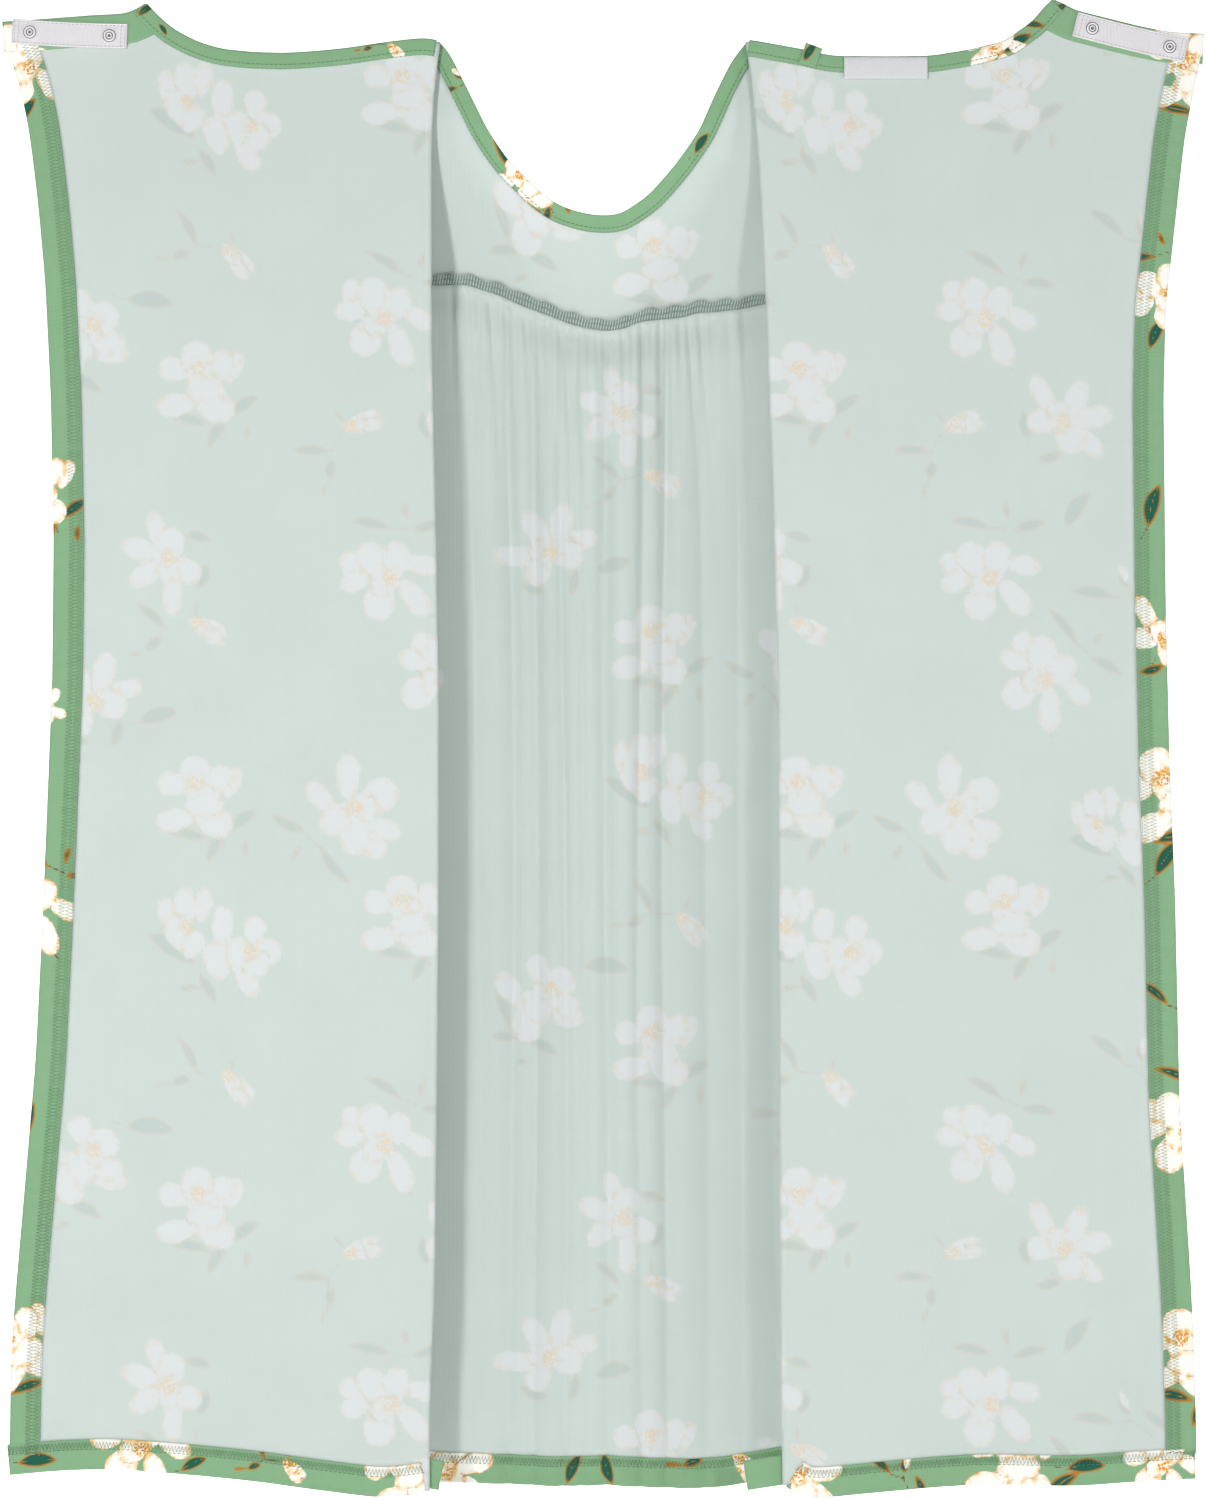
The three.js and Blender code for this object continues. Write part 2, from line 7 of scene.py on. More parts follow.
# %% Load the fixed frame
import math
import bpy
import numpy as np
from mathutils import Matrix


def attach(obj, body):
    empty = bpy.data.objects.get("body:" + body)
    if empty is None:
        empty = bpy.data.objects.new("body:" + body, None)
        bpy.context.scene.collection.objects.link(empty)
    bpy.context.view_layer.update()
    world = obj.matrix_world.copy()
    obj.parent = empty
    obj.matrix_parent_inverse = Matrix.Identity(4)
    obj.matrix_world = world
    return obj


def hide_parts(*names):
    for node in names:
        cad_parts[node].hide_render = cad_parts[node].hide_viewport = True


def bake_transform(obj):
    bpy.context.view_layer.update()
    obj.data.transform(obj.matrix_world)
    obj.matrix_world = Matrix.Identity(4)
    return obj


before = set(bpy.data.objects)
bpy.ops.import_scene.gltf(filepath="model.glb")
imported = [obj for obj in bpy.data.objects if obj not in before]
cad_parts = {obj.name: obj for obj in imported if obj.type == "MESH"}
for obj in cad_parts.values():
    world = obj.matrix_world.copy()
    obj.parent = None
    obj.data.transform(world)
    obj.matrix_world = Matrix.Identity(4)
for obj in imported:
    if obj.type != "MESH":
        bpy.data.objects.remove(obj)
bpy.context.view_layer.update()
MM = 0.001

# %% [markdown]
# ## Camera, light and floor
# A garment for sale is shown straight on against white. The distance is a few steps back, so that
# nothing looks stretched, and the lens then takes in 1057 mm of height where the panels hang. Two
# narrow lights near the eye leave the inside of each fold in shadow, which a broad front light
# would wash out. Weak lights far to the sides rake across the folds, and one above fills them.

# %% Camera
scene = bpy.context.scene
EYE_DISTANCE = 2.55
VIEW_HEIGHT = 1.0575
EYE_LEVEL = -0.499
camera_data = bpy.data.cameras.new("camera")
camera_data.sensor_fit = "VERTICAL"
camera_data.sensor_height = 24
camera_data.lens = camera_data.sensor_height * EYE_DISTANCE / VIEW_HEIGHT
camera = bpy.data.objects.new("camera", camera_data)
camera.location = (0.0003, -EYE_DISTANCE, EYE_LEVEL)
camera.rotation_euler = (math.pi / 2, 0, 0)
scene.collection.objects.link(camera)
scene.camera = camera
print("lens", round(camera_data.lens, 1))

# %% Lights
GOWN_MIDDLE = (0, 0, -0.5)


def area_light(name, place, width, height, power):
    """A soft rectangular light at place, turned to the gown's middle by its yaw and pitch."""
    data = bpy.data.lights.new(name, "AREA")
    data.shape = "RECTANGLE"
    data.size, data.size_y = width, height
    data.energy = power
    light = bpy.data.objects.new(name, data)
    light.location = place
    direction = np.array(GOWN_MIDDLE) - np.array(place)
    pitch = math.atan2(direction[2], math.hypot(direction[0], direction[1]))
    yaw = math.atan2(direction[1], direction[0])
    light.rotation_euler = (math.pi / 2 + pitch, 0, yaw - math.pi / 2)
    scene.collection.objects.link(light)


area_light("key_left", (-1.05, -2.55, -0.25), 0.22, 1.2, 36)
area_light("key_right", (1.05, -2.55, -0.25), 0.22, 1.2, 16)
area_light("rake_left", (-2.4, -1.4, -0.3), 0.5, 1.4, 9)
area_light("rake_right", (2.4, -1.4, -0.3), 0.5, 1.4, 15)
area_light("front_fill", (0, -3.4, 0.9), 2.6, 1.6, 2.0)
area_light("back_left", (-1.6, 2.3, 0.4), 0.8, 1.4, 24)
area_light("back_right", (1.6, 2.3, 0.4), 0.8, 1.4, 24)
scene.view_settings.view_transform = "Standard"
world = bpy.data.worlds.new("studio")
scene.world = world
world.use_nodes = True
print("lights", len(bpy.data.lights))

# %% [markdown]
# ## Small tools for materials
# Colours are written as sRGB hex, the way a dye chart gives them, and turned to linear light.
# The nodes of a material are then added in one call each, which keeps a long chain readable.


# %% Colour and node helpers
def linear(hex_colour):
    """sRGB hex to linear RGBA, by the sRGB curve."""
    parts = [int(hex_colour[i:i + 2], 16) / 255 for i in (1, 3, 5)]
    return tuple(c / 12.92 if c <= 0.04045 else ((c + 0.055) / 1.055) ** 2.4 for c in parts) + (1,)


def node(tree, kind, settings=None, **links):
    """Adds one node, sets its properties, and fills its inputs with values or other sockets."""
    made = tree.nodes.new(kind)
    for key, value in (settings or {}).items():
        setattr(made, key, value)
    for key, value in links.items():
        socket = made.inputs[int(key[1:])] if key[0] == "i" and key[1:].isdigit() else made.inputs[key]
        if isinstance(value, bpy.types.NodeSocket):
            tree.links.new(value, socket)
        else:
            socket.default_value = value
    return made


def new_material(name):
    """A material with its Principled shader, ready for nodes."""
    material = bpy.data.materials.new(name)
    material.use_nodes = True
    return material, material.node_tree, material.node_tree.nodes["Principled BSDF"]


print("helpers ready")

# %% [markdown]
# ### Room and paper
# The room gives almost no light, but it is white where the eye looks past the paper. The paper
# is plain white studio stock: matt, and lit from behind where it rises, so that the garment
# stands against white. A lamp behind real paper gives the same even glow.

# %% Room and paper
tree = world.node_tree
looked_at = node(tree, "ShaderNodeLightPath", {}).outputs["Is Camera Ray"]
room = node(tree, "ShaderNodeMapRange", {}, i0=looked_at, i3=0.03, i4=1.0).outputs[0]
tree.nodes["Background"].inputs["Color"].default_value = (1, 1, 1, 1)
tree.links.new(room, tree.nodes["Background"].inputs["Strength"])

# Studio paper is pulp rolled smooth without a gloss, so it gives the eye no highlight at all.
floor_finish, tree, shader = new_material("white_studio_paper")
shader.inputs["Base Color"].default_value = (0.93, 0.93, 0.93, 1)
shader.inputs["Roughness"].default_value = 0.9
shader.inputs["Emission Color"].default_value = (1, 1, 1, 1)
paper_place = node(tree, "ShaderNodeTexCoord", {}).outputs["Object"]
paper_y = node(tree, "ShaderNodeSeparateXYZ", {}, Vector=paper_place).outputs["Y"]
glow = node(tree, "ShaderNodeMapRange", {}, i0=paper_y, i1=2.2, i2=2.9, i3=0.16, i4=1.05)
tree.links.new(glow.outputs[0], shader.inputs["Emission Strength"])

FLOOR_HEIGHT = -1.6
SWEEP_RADIUS = 0.6
PAPER_FRONT, PAPER_BEND, PAPER_TOP, PAPER_HALF_WIDTH = -4.5, 4.2, 3.4, 5.0
sweep_angle = np.linspace(0, math.pi / 2, 12)
sweep_y = np.concatenate([[PAPER_FRONT], PAPER_BEND + SWEEP_RADIUS * np.sin(sweep_angle),
                          [PAPER_BEND + SWEEP_RADIUS]])
sweep_z = np.concatenate([[0], SWEEP_RADIUS * (1 - np.cos(sweep_angle)), [PAPER_TOP]]) + FLOOR_HEIGHT
paper = [(x, y, z) for y, z in zip(sweep_y, sweep_z) for x in (-PAPER_HALF_WIDTH, PAPER_HALF_WIDTH)]
paper_faces = [(2 * i, 2 * i + 1, 2 * i + 3, 2 * i + 2) for i in range(len(sweep_y) - 1)]
paper_mesh = bpy.data.meshes.new("studio_floor")
paper_mesh.from_pydata(paper, [], paper_faces)
paper_mesh.materials.append(floor_finish)
paper_mesh.polygons.foreach_set("use_smooth", [True] * len(paper_faces))
floor = bpy.data.objects.new("studio_floor", paper_mesh)
scene.collection.objects.link(floor)
print("paper faces", len(paper_faces))

# %% [markdown]
# ## The print
# A textile print is drawn once and repeated. Each flower here is a handful of egg-shaped
# petals laid one over another, as a painter would. A scanned swatch would do it too, but here the
# pattern is worked out as distances: how far a point of the cloth lies inside a petal, from the
# nearest outline, from the flower's heart, inside a leaf or a stem. Distances stay smooth
# between mesh points, so the material can cut crisp shapes from them.

# %% Distance fields
FIELDS = ("petal", "edge", "core", "leaf", "rib", "stem")
FAR = 60.0


def egg(x, z, centre_x, centre_z, degrees, half_length, half_width):
    """Signed distance inside an egg: one minus its stretched radius, times its half width."""
    turn = math.radians(degrees)
    along = ((x - centre_x) * math.cos(turn) + (z - centre_z) * math.sin(turn)) / half_length
    across = ((z - centre_z) * math.cos(turn) - (x - centre_x) * math.sin(turn)) / half_width
    belly = 1 + 0.22 * np.clip(along, -1, 1) + 0.05 * np.sin(7 * along + centre_x)
    return (1 - np.sqrt(along ** 2 + (across / belly) ** 2)) * half_width


def leaf_shape(x, z, centre_x, centre_z, degrees, half_length, half_width):
    """Signed distance inside a pointed leaf: its width shrinks with the square to each tip."""
    turn = math.radians(degrees)
    along = ((x - centre_x) * math.cos(turn) + (z - centre_z) * math.sin(turn)) / half_length
    across = (z - centre_z) * math.cos(turn) - (x - centre_x) * math.sin(turn)
    across = across - 0.12 * half_length * (1 - along ** 2)
    inside = half_width * np.clip(1 - along ** 2, 0, 1) - np.abs(across)
    beyond = (1 - np.abs(along)) * half_length
    return np.minimum(inside, np.maximum(beyond, inside - FAR)), np.abs(across)


def stroke(x, z, start, end, width):
    """Signed distance inside a straight stem: its half width less the distance to its line."""
    ax, az = start
    dx, dz = end[0] - ax, end[1] - az
    share = np.clip(((x - ax) * dx + (z - az) * dz) / (dx * dx + dz * dz), 0, 1)
    return width - np.hypot(x - ax - share * dx, z - az - share * dz)


# Each motif: petals (x, z, angle, half length, half width), leaves likewise, stems, hearts.
MOTIFS = {
    "pair": dict(
        leaves=[(-34, -2, -33, 20, 7), (-9, -30, -58, 12, 4), (-22, -30, 5, 9, 3)],
        stems=[((-13, -18), (-12, -30), 0.8)],
        petals=[(-36, 22, 102, 14, 7), (-12, 29, 78, 13, 6.5), (-24, 27, 92, 15, 8),
                (-29, 9, 110, 13, 9), (-19, 1, 60, 11, 7), (25, 12, 82, 10, 8), (33, -3, -12, 11, 9),
                (2, 14, 84, 15, 7.5), (-1, -10, 95, 14, 10), (19, -24, -56, 13, 7),
                (24, -12, 12, 12, 9), (13, -5, 84, 12, 9)],
        hearts=[(22, -4), (-23, 14)]),
    "open": dict(
        leaves=[(-1, 40, -31, 17, 3.8), (27, 41, 75, 7, 2.6), (38, 24, -6, 14, 4)],
        stems=[((10, 34), (24, 28), 0.7), ((12, -26), (20, -36), 0.7)],
        petals=[(24, 1, -28, 13, 7), (-20, 17, 128, 12, 8), (-24, 6, 176, 11, 7),
                (-7, 16, 102, 14, 10), (8, 10, 60, 14, 9), (11, -18, -72, 16, 8),
                (-12, -12, 238, 15, 11), (-4, -2, 200, 11, 8)],
        hearts=[(0, 0)]),
    "full": dict(
        leaves=[(30, -15, 35, 14, 4.6), (-9, -26, -10, 15, 4), (10, -35, 60, 12, 4.2),
                (32, -34, 88, 7, 2.6)],
        stems=[((14, -22), (16, -34), 0.8)],
        petals=[(22, 12, 68, 12, 6), (12, 13, 58, 13, 8), (-20, 11, 172, 11, 8.5),
                (-4, 18, 92, 13, 11), (-1, 3, 95, 12, 10), (-18, -14, 190, 15, 8),
                (9, -16, -12, 14, 10), (2, -4, 5, 14, 8)],
        hearts=[(-3, 12)]),
    "windmill": dict(
        leaves=[(-27, -2, 100, 11, 4.5), (-11, -24, 196, 11, 4)],
        stems=[((-8, -16), (-12, -26), 0.7)],
        petals=[(-15, 18, 118, 17, 7), (7, 14, 66, 16, 7.5), (19, 3, 14, 15, 7.5),
                (-15, 0, 184, 12, 8.5), (16, -14, -44, 14, 6.5), (3, -10, -72, 13, 9.5),
                (-3, 3, 110, 11, 8)],
        hearts=[(-1, 0)]),
    "bud": dict(
        leaves=[(-35, 20, -62, 15, 3.6), (-39, 1, 20, 8, 4), (-54, -2, 5, 9, 1.8),
                (-2, 14, 70, 7, 1.6)],
        stems=[((-30, 8), (-10, 7), 0.7), ((-30, 8), (-44, 0), 0.6)],
        petals=[(2, -1, -42, 14, 5), (-1, -5, -52, 14, 5), (-4, 2, -46, 9, 5)],
        hearts=[(-5, 5)]),
    "sprig": dict(
        leaves=[(-16, 12, -38, 17, 4.4), (10, 10, 80, 8, 4), (22, -10, -70, 13, 4)],
        stems=[((-4, 2), (8, -2), 0.8), ((8, -2), (16, -20), 0.7), ((8, -2), (10, 6), 0.6)],
        petals=[(11, 13, 84, 7, 3)], hearts=[]),
    "leaf": dict(
        leaves=[(0, 0, -5, 18, 6.5)], stems=[((-17, 2), (-28, 6), 0.7)], petals=[], hearts=[]),
}


def draw_motif(fields, x, z, kind, centre_x, centre_z, degrees, size):
    """Adds one motif to the fields of the points near it: the largest inside distance wins."""
    near = np.hypot(x - centre_x, z - centre_z) < FAR * size
    if not near.any():
        return
    turn = math.radians(degrees)
    dx, dz = x[near] - centre_x, z[near] - centre_z
    local_x = (dx * math.cos(turn) + dz * math.sin(turn)) / size
    local_z = (dz * math.cos(turn) - dx * math.sin(turn)) / size
    motif = MOTIFS[kind]
    local = {name: fields[name][near] for name in FIELDS}
    for leaf in motif["leaves"]:
        inside, from_rib = leaf_shape(local_x, local_z, *leaf)
        local["rib"] = np.where(inside > local["leaf"], from_rib, local["rib"])
        local["leaf"] = np.maximum(local["leaf"], inside)
    for start, end, width in motif["stems"]:
        local["stem"] = np.maximum(local["stem"], stroke(local_x, local_z, start, end, width))
    for petal in motif["petals"]:
        inside = egg(local_x, local_z, *petal)
        local["edge"] = np.where(inside > 0, inside, np.minimum(local["edge"], -inside))
        local["petal"] = np.maximum(local["petal"], inside)
    for heart_x, heart_z in motif["hearts"]:
        local["core"] = np.minimum(local["core"], np.hypot(local_x - heart_x, local_z - heart_z))
    for name in FIELDS:
        fields[name][near] = local[name]


# %% Layout of one repeat
REPEAT_X, REPEAT_Z = 423.0, 581.6
# One repeat of the print: kind, x and z in mm from its upper left corner, turn, size.
LAYOUT = [
    ("pair", 155, -56, 0, 1.0), ("full", 287, -36, 0, 1.0), ("bud", 167, -152, 0, 1.0),
    ("leaf", 106, -184, 0, 1.0), ("open", 271, -196, 0, 1.0), ("full", 58, -208, -60, 1.0),
    ("full", 143, -242, 0, 1.0), ("bud", 253, -268, 62, 1.0), ("windmill", 118, -365, 150, 1.0),
    ("open", 275, -378, 20, 1.0), ("bud", 146, -412, 20, 1.0), ("windmill", 66, -464, 60, 1.05),
    ("leaf", 112, -476, 20, 0.9), ("full", 142, -534, 0, 1.0), ("open", 250, -540, 160, 1.05),
    ("sprig", 372, -140, 0, 1.0), ("windmill", 327, -268, 0, 1.0), ("sprig", 366, -392, 30, 1.0),
    ("open", 312, -450, -20, 1.0), ("pair", 374, -560, 10, 0.9), ("leaf", 336, -330, 60, 0.9),
]


def print_fields(x, z, shift_x=0.0, shift_z=0.0, motifs=None):
    """The print's fields at cloth points x, z in mm, from a shifted repeat or a given list.

    Each field starts at plus or minus FAR, and each motif then takes a minimum or maximum.
    """
    shape = x.shape
    x, z = x.ravel() - shift_x, z.ravel() - shift_z
    fields = {name: np.full(x.size, -FAR if name in ("petal", "leaf", "stem") else FAR)
              for name in FIELDS}
    if motifs is None:
        columns = range(math.floor((x.min() - FAR) / REPEAT_X), math.ceil((x.max() + FAR) / REPEAT_X))
        rows = range(math.floor((z.min() - FAR) / REPEAT_Z), math.ceil((z.max() + FAR) / REPEAT_Z) + 2)
        motifs = [(kind, along + column * REPEAT_X, down + row * REPEAT_Z, degrees, size)
                  for column in columns for row in rows
                  for kind, along, down, degrees, size in LAYOUT]
    for motif in motifs:
        draw_motif(fields, x, z, *motif)
    return {name: values.reshape(shape) for name, values in fields.items()}


print("motifs in one repeat", len(LAYOUT))

# %% [markdown]
# ## Cotton jersey
# Jersey is a fine single knit. Its right side takes the dye: sage green with white magnolias,
# orange at their hearts. On the wrong side only a ghost of the print comes through. Both are
# one material with different colours and strengths. Knit stitches are about 0.6 mm; they are
# drawn at 1.6 mm so that they show, as a soft bump under a little sheen from the fibre ends.

# %% Jersey materials
WALE = 0.0016
GHOST_STRENGTH = 0.62


def jersey(name, ground, petal, petal_shade, outline, heart, leaf, leaf_shade, stem, depth):
    """Printed jersey: ground, stems, leaves and petals laid over each other.

    depth is how strongly the print shows, from 0 to 1. The knit is the product of two waves.
    """
    material, tree, shader = new_material(name)
    field = {key: node(tree, "ShaderNodeAttribute", {"attribute_name": key}).outputs["Fac"]
             for key in FIELDS}
    cloth = node(tree, "ShaderNodeUVMap", {"uv_map": "cloth"}).outputs["UV"]
    mottle = node(tree, "ShaderNodeTexNoise", {}, Vector=cloth, Scale=180.0, Detail=4.0).outputs["Fac"]
    broad = node(tree, "ShaderNodeTexNoise", {}, Vector=cloth, Scale=14.0, Detail=2.0).outputs["Fac"]

    def ramp(value, low, high):
        """0 below low, 1 above high, smooth between."""
        return node(tree, "ShaderNodeMapRange", {"interpolation_type": "SMOOTHSTEP"}, i0=value,
                    i1=low, i2=high).outputs[0]

    def math_of(operation, first, second):
        """One sum or product of two values, kept between 0 and 1."""
        return node(tree, "ShaderNodeMath", {"operation": operation, "use_clamp": True},
                    i0=first, i1=second).outputs[0]

    def over(share, below, above):
        """below where share is 0, above where it is 1."""
        return node(tree, "ShaderNodeMix", {"data_type": "RGBA"}, i0=share, i6=below,
                    i7=above).outputs[2]

    softness = 0.35 if depth > 0.9 else 1.2
    low_ground = tuple(c * 0.94 for c in linear(ground)[:3]) + (1,)
    colour = over(broad, linear(ground), low_ground)
    in_stem = math_of("MULTIPLY", ramp(field["stem"], -softness, softness), depth)
    colour = over(in_stem, colour, linear(stem))
    leaf_tone = over(math_of("ADD", ramp(field["leaf"], 2.2, 0.6), ramp(field["rib"], 0.7, 0.2)),
                     linear(leaf), linear(leaf_shade))
    in_leaf = math_of("MULTIPLY", ramp(field["leaf"], -softness, softness), depth)
    colour = over(in_leaf, colour, leaf_tone)
    near_heart = ramp(field["core"], 11.0, 4.0)
    streak = math_of("MULTIPLY", ramp(mottle, 0.40, 0.66), near_heart)
    edging = math_of("MULTIPLY", ramp(field["edge"], 3.2, 0.5), ramp(mottle, 0.42, 0.62))
    petal_tone = over(math_of("ADD", streak, edging), linear(petal), linear(petal_shade))
    drawn = math_of("MULTIPLY", ramp(field["edge"], 0.8, 0.1), ramp(broad, 0.25, 0.6))
    petal_tone = over(drawn, petal_tone, linear(outline))
    stamens = node(tree, "ShaderNodeTexVoronoi", {}, Vector=cloth, Scale=620.0).outputs["Distance"]
    dots = math_of("MULTIPLY", ramp(stamens, 0.62, 0.40), ramp(field["core"], 6.4, 4.6))
    petal_tone = over(dots, petal_tone, linear(heart))
    in_petal = math_of("MULTIPLY", ramp(field["petal"], -softness, softness), min(1.0, depth * 1.6))
    colour = over(in_petal, colour, petal_tone)
    tree.links.new(colour, shader.inputs["Base Color"])

    wales = node(tree, "ShaderNodeTexWave", {"wave_type": "BANDS", "bands_direction": "X"},
                 Vector=cloth, Scale=1 / WALE / 20 * math.pi, Distortion=0.6).outputs["Fac"]
    courses = node(tree, "ShaderNodeTexWave", {"wave_type": "BANDS", "bands_direction": "Y"},
                   Vector=cloth, Scale=1 / WALE / 14 * math.pi, Distortion=0.6).outputs["Fac"]
    knit = node(tree, "ShaderNodeMath", {"operation": "MULTIPLY"}, i0=wales, i1=courses).outputs[0]
    relief = node(tree, "ShaderNodeMath", {"operation": "ADD"}, i0=knit, i1=mottle).outputs[0]
    bump = node(tree, "ShaderNodeBump", {}, Strength=0.16, Distance=0.0005, Height=relief)
    tree.links.new(bump.outputs["Normal"], shader.inputs["Normal"])
    shader.inputs["Roughness"].default_value = 0.88
    shader.inputs["Sheen Weight"].default_value = 0.06
    shader.inputs["Sheen Roughness"].default_value = 0.5
    shader.inputs["Specular IOR Level"].default_value = 0.25
    return material


VIVID = dict(petal="#fffdf5", petal_shade="#f4cf8d", outline="#c98a3a", heart="#e39a1f",
             leaf="#1f5e4b", leaf_shade="#b98432", stem="#7c4a22")
# The back of the knit: the dye stops halfway, so the eye gets a pale mint and a ghost of flowers.
wrong_side = jersey("cotton_jersey_wrong_side", "#cfdad5", petal="#dbe0e0", petal_shade="#dbd9d0",
                    outline="#d0d4ce", heart="#e0d3ba", leaf="#bbc8c3", leaf_shade="#cfccc0",
                    stem="#cbc7ba", depth=GHOST_STRENGTH)
# The printed face: pigment pressed on from a roller, flat and vivid, and dull as cotton is.
right_side = jersey("cotton_jersey_right_side", "#8cb48c", depth=1.0, **VIVID)
# The same face cut into strips, a little darker because the folded strip is double.
binding_side = jersey("cotton_jersey_binding", "#89b389", depth=1.0, **VIVID)
print("jersey materials ready")

# %% [markdown]
# ## Other finishes
# Sewing thread, woven tape, label ribbon and snaps have one colour each, so a fine mottle and a
# little relief are enough to keep them from looking like painted plastic.


# %% Plain finishes
def plain(name, colour, roughness, sheen=0.0, grain=900.0, relief=0.1, weave=None):
    """A finish of one colour mixed with 0.86 of it by noise, and ribs every weave metres."""
    material, tree, shader = new_material(name)
    place = node(tree, "ShaderNodeTexCoord", {}).outputs["Object"]
    mottle = node(tree, "ShaderNodeTexNoise", {}, Vector=place, Scale=grain, Detail=3.0).outputs["Fac"]
    dark = tuple(c * 0.86 for c in linear(colour)[:3]) + (1,)
    tone = node(tree, "ShaderNodeMix", {"data_type": "RGBA"}, i0=mottle, i6=dark, i7=linear(colour))
    tree.links.new(tone.outputs[2], shader.inputs["Base Color"])
    height = mottle
    if weave:
        ribs = node(tree, "ShaderNodeTexWave", {"wave_type": "BANDS", "bands_direction": "X"},
                    Vector=place, Scale=math.pi / 20 / weave).outputs["Fac"]
        height = node(tree, "ShaderNodeMath", {"operation": "ADD"}, i0=ribs, i1=mottle).outputs[0]
    bump = node(tree, "ShaderNodeBump", {}, Strength=relief, Distance=0.0003, Height=height)
    tree.links.new(bump.outputs["Normal"], shader.inputs["Normal"])
    shader.inputs["Roughness"].default_value = roughness
    shader.inputs["Sheen Weight"].default_value = sheen
    return material


# Spun polyester, dyed to the trims: a seam that reads as a slightly darker dotted line.
green_thread = plain("polyester_thread_green", "#557f5b", 0.6, 0.2)
# The same thread undyed but for a tint: the overlock loops, which catch the light on the serging.
pale_thread = plain("polyester_thread_pale", "#c9d5ce", 0.6, 0.2)
# Grey spun thread: the second needle of the coverstitch, quiet against the pale inside.
grey_thread = plain("polyester_thread_grey", "#93a69d", 0.6, 0.2)
# White spun thread, close laid: the raised selvedge of each tape and the label's ends.
white_thread = plain("polyester_thread_white", "#fbfafb", 0.6, 0.2)
# Lilac-grey thread: it shows on the white tape only as a faint row of dashes.
tape_thread = plain("polyester_thread_lilac", "#b9b3bd", 0.6, 0.2)
# Cotton tape woven in narrow ribs and bleached: matt, with a fine cross rib.
cotton_tape = plain("woven_cotton_tape", "#e9e6e9", 0.8, 0.3, weave=0.0012, relief=0.3)
# Polyester satin ribbon: long floating threads give the label a soft gloss.
satin = plain("satin_label_ribbon", "#dfe0e3", 0.32, 0.1, weave=0.0008, relief=0.15)
# Injection-moulded acetal: smooth and slightly waxy, with small clear highlights on the rims.
acetal = plain("moulded_white_acetal", "#f6f5f5", 0.28, relief=0.02)
# The same moulding at the bottom of a snap's well, where hardly any light gets in.
shadowed_acetal = plain("acetal_in_the_well", "#6f6d74", 0.5, relief=0.02)
# Jersey cut by the overlock knife: fuzzy and greyed by the thread wound round it; its grey is also
# darkened as painted shade for the hollows between the pale overlock loops.
serged_grey_and_painted_shade = plain("serged_jersey_edge", "#889c91", 0.9, 0.3, grain=500, relief=0.5)
print("finishes", len(bpy.data.materials))

# %% [markdown]
# ## Tools for shapes
# Cloth is made as grids of points: rows down, columns across, in millimetres until the mesh is
# written. An edge is traced as a few points, smoothed as a hanging edge would be, and a sheet is
# filled between four edges, the way a pattern cutter blends between seam lines.


# %% Lines and sheets
def run_length(line):
    """Distance along a line at each of its points: the running sum of its steps."""
    return np.concatenate([[0], np.cumsum(np.linalg.norm(np.diff(line, axis=0), axis=1))])


def tangents(line):
    """Unit tangents of a line: its central differences, each divided by its length."""
    step = np.gradient(line, axis=0)
    return step / np.linalg.norm(step, axis=1, keepdims=True)


def spread(line, count):
    """The given number of points, evenly spaced by length along a line."""
    along = run_length(line)
    at = np.linspace(0, along[-1], count)
    return np.stack([np.interp(at, along, line[:, k]) for k in range(line.shape[1])], axis=1)


def resampled(line, step):
    """The same line with a point every step mm."""
    return spread(line, int(run_length(line)[-1] / step))


def smooth(points, count, soft=9.0):
    """A line through points, averaged by a bell curve soft mm wide, with its ends kept."""
    line = np.asarray(points, float)
    line = spread(line, max(int(run_length(line)[-1]), 24))
    reach = min(int(3 * soft), len(line) - 2)
    bell = np.exp(-0.5 * (np.arange(-reach, reach + 1) / soft) ** 2)
    bell /= bell.sum()
    padded = np.concatenate([2 * line[0] - line[reach:0:-1], line,
                             2 * line[-1] - line[-2:-reach - 2:-1]])
    averaged = [np.convolve(padded[:, k], bell, "valid") for k in range(line.shape[1])]
    return spread(np.stack(averaged, axis=1), count)


def fill(top, bottom, inner, outer):
    """A Coons patch: both blends between opposite edges, less the blend of the corners."""
    u = np.linspace(0, 1, len(top))[None, :, None]
    v = np.linspace(0, 1, len(inner))[:, None, None]
    across = (1 - v) * top[None] + v * bottom[None]
    down = (1 - u) * inner[:, None] + u * outer[:, None]
    corners = ((1 - u) * (1 - v) * top[0] + u * (1 - v) * top[-1]
               + (1 - u) * v * bottom[0] + u * v * bottom[-1])
    return across + down - corners


def smoothstep(value):
    """0 below 0, 1 above 1, and 3v squared less 2v cubed between."""
    value = np.clip(value, 0, 1)
    return value * value * (3 - 2 * value)


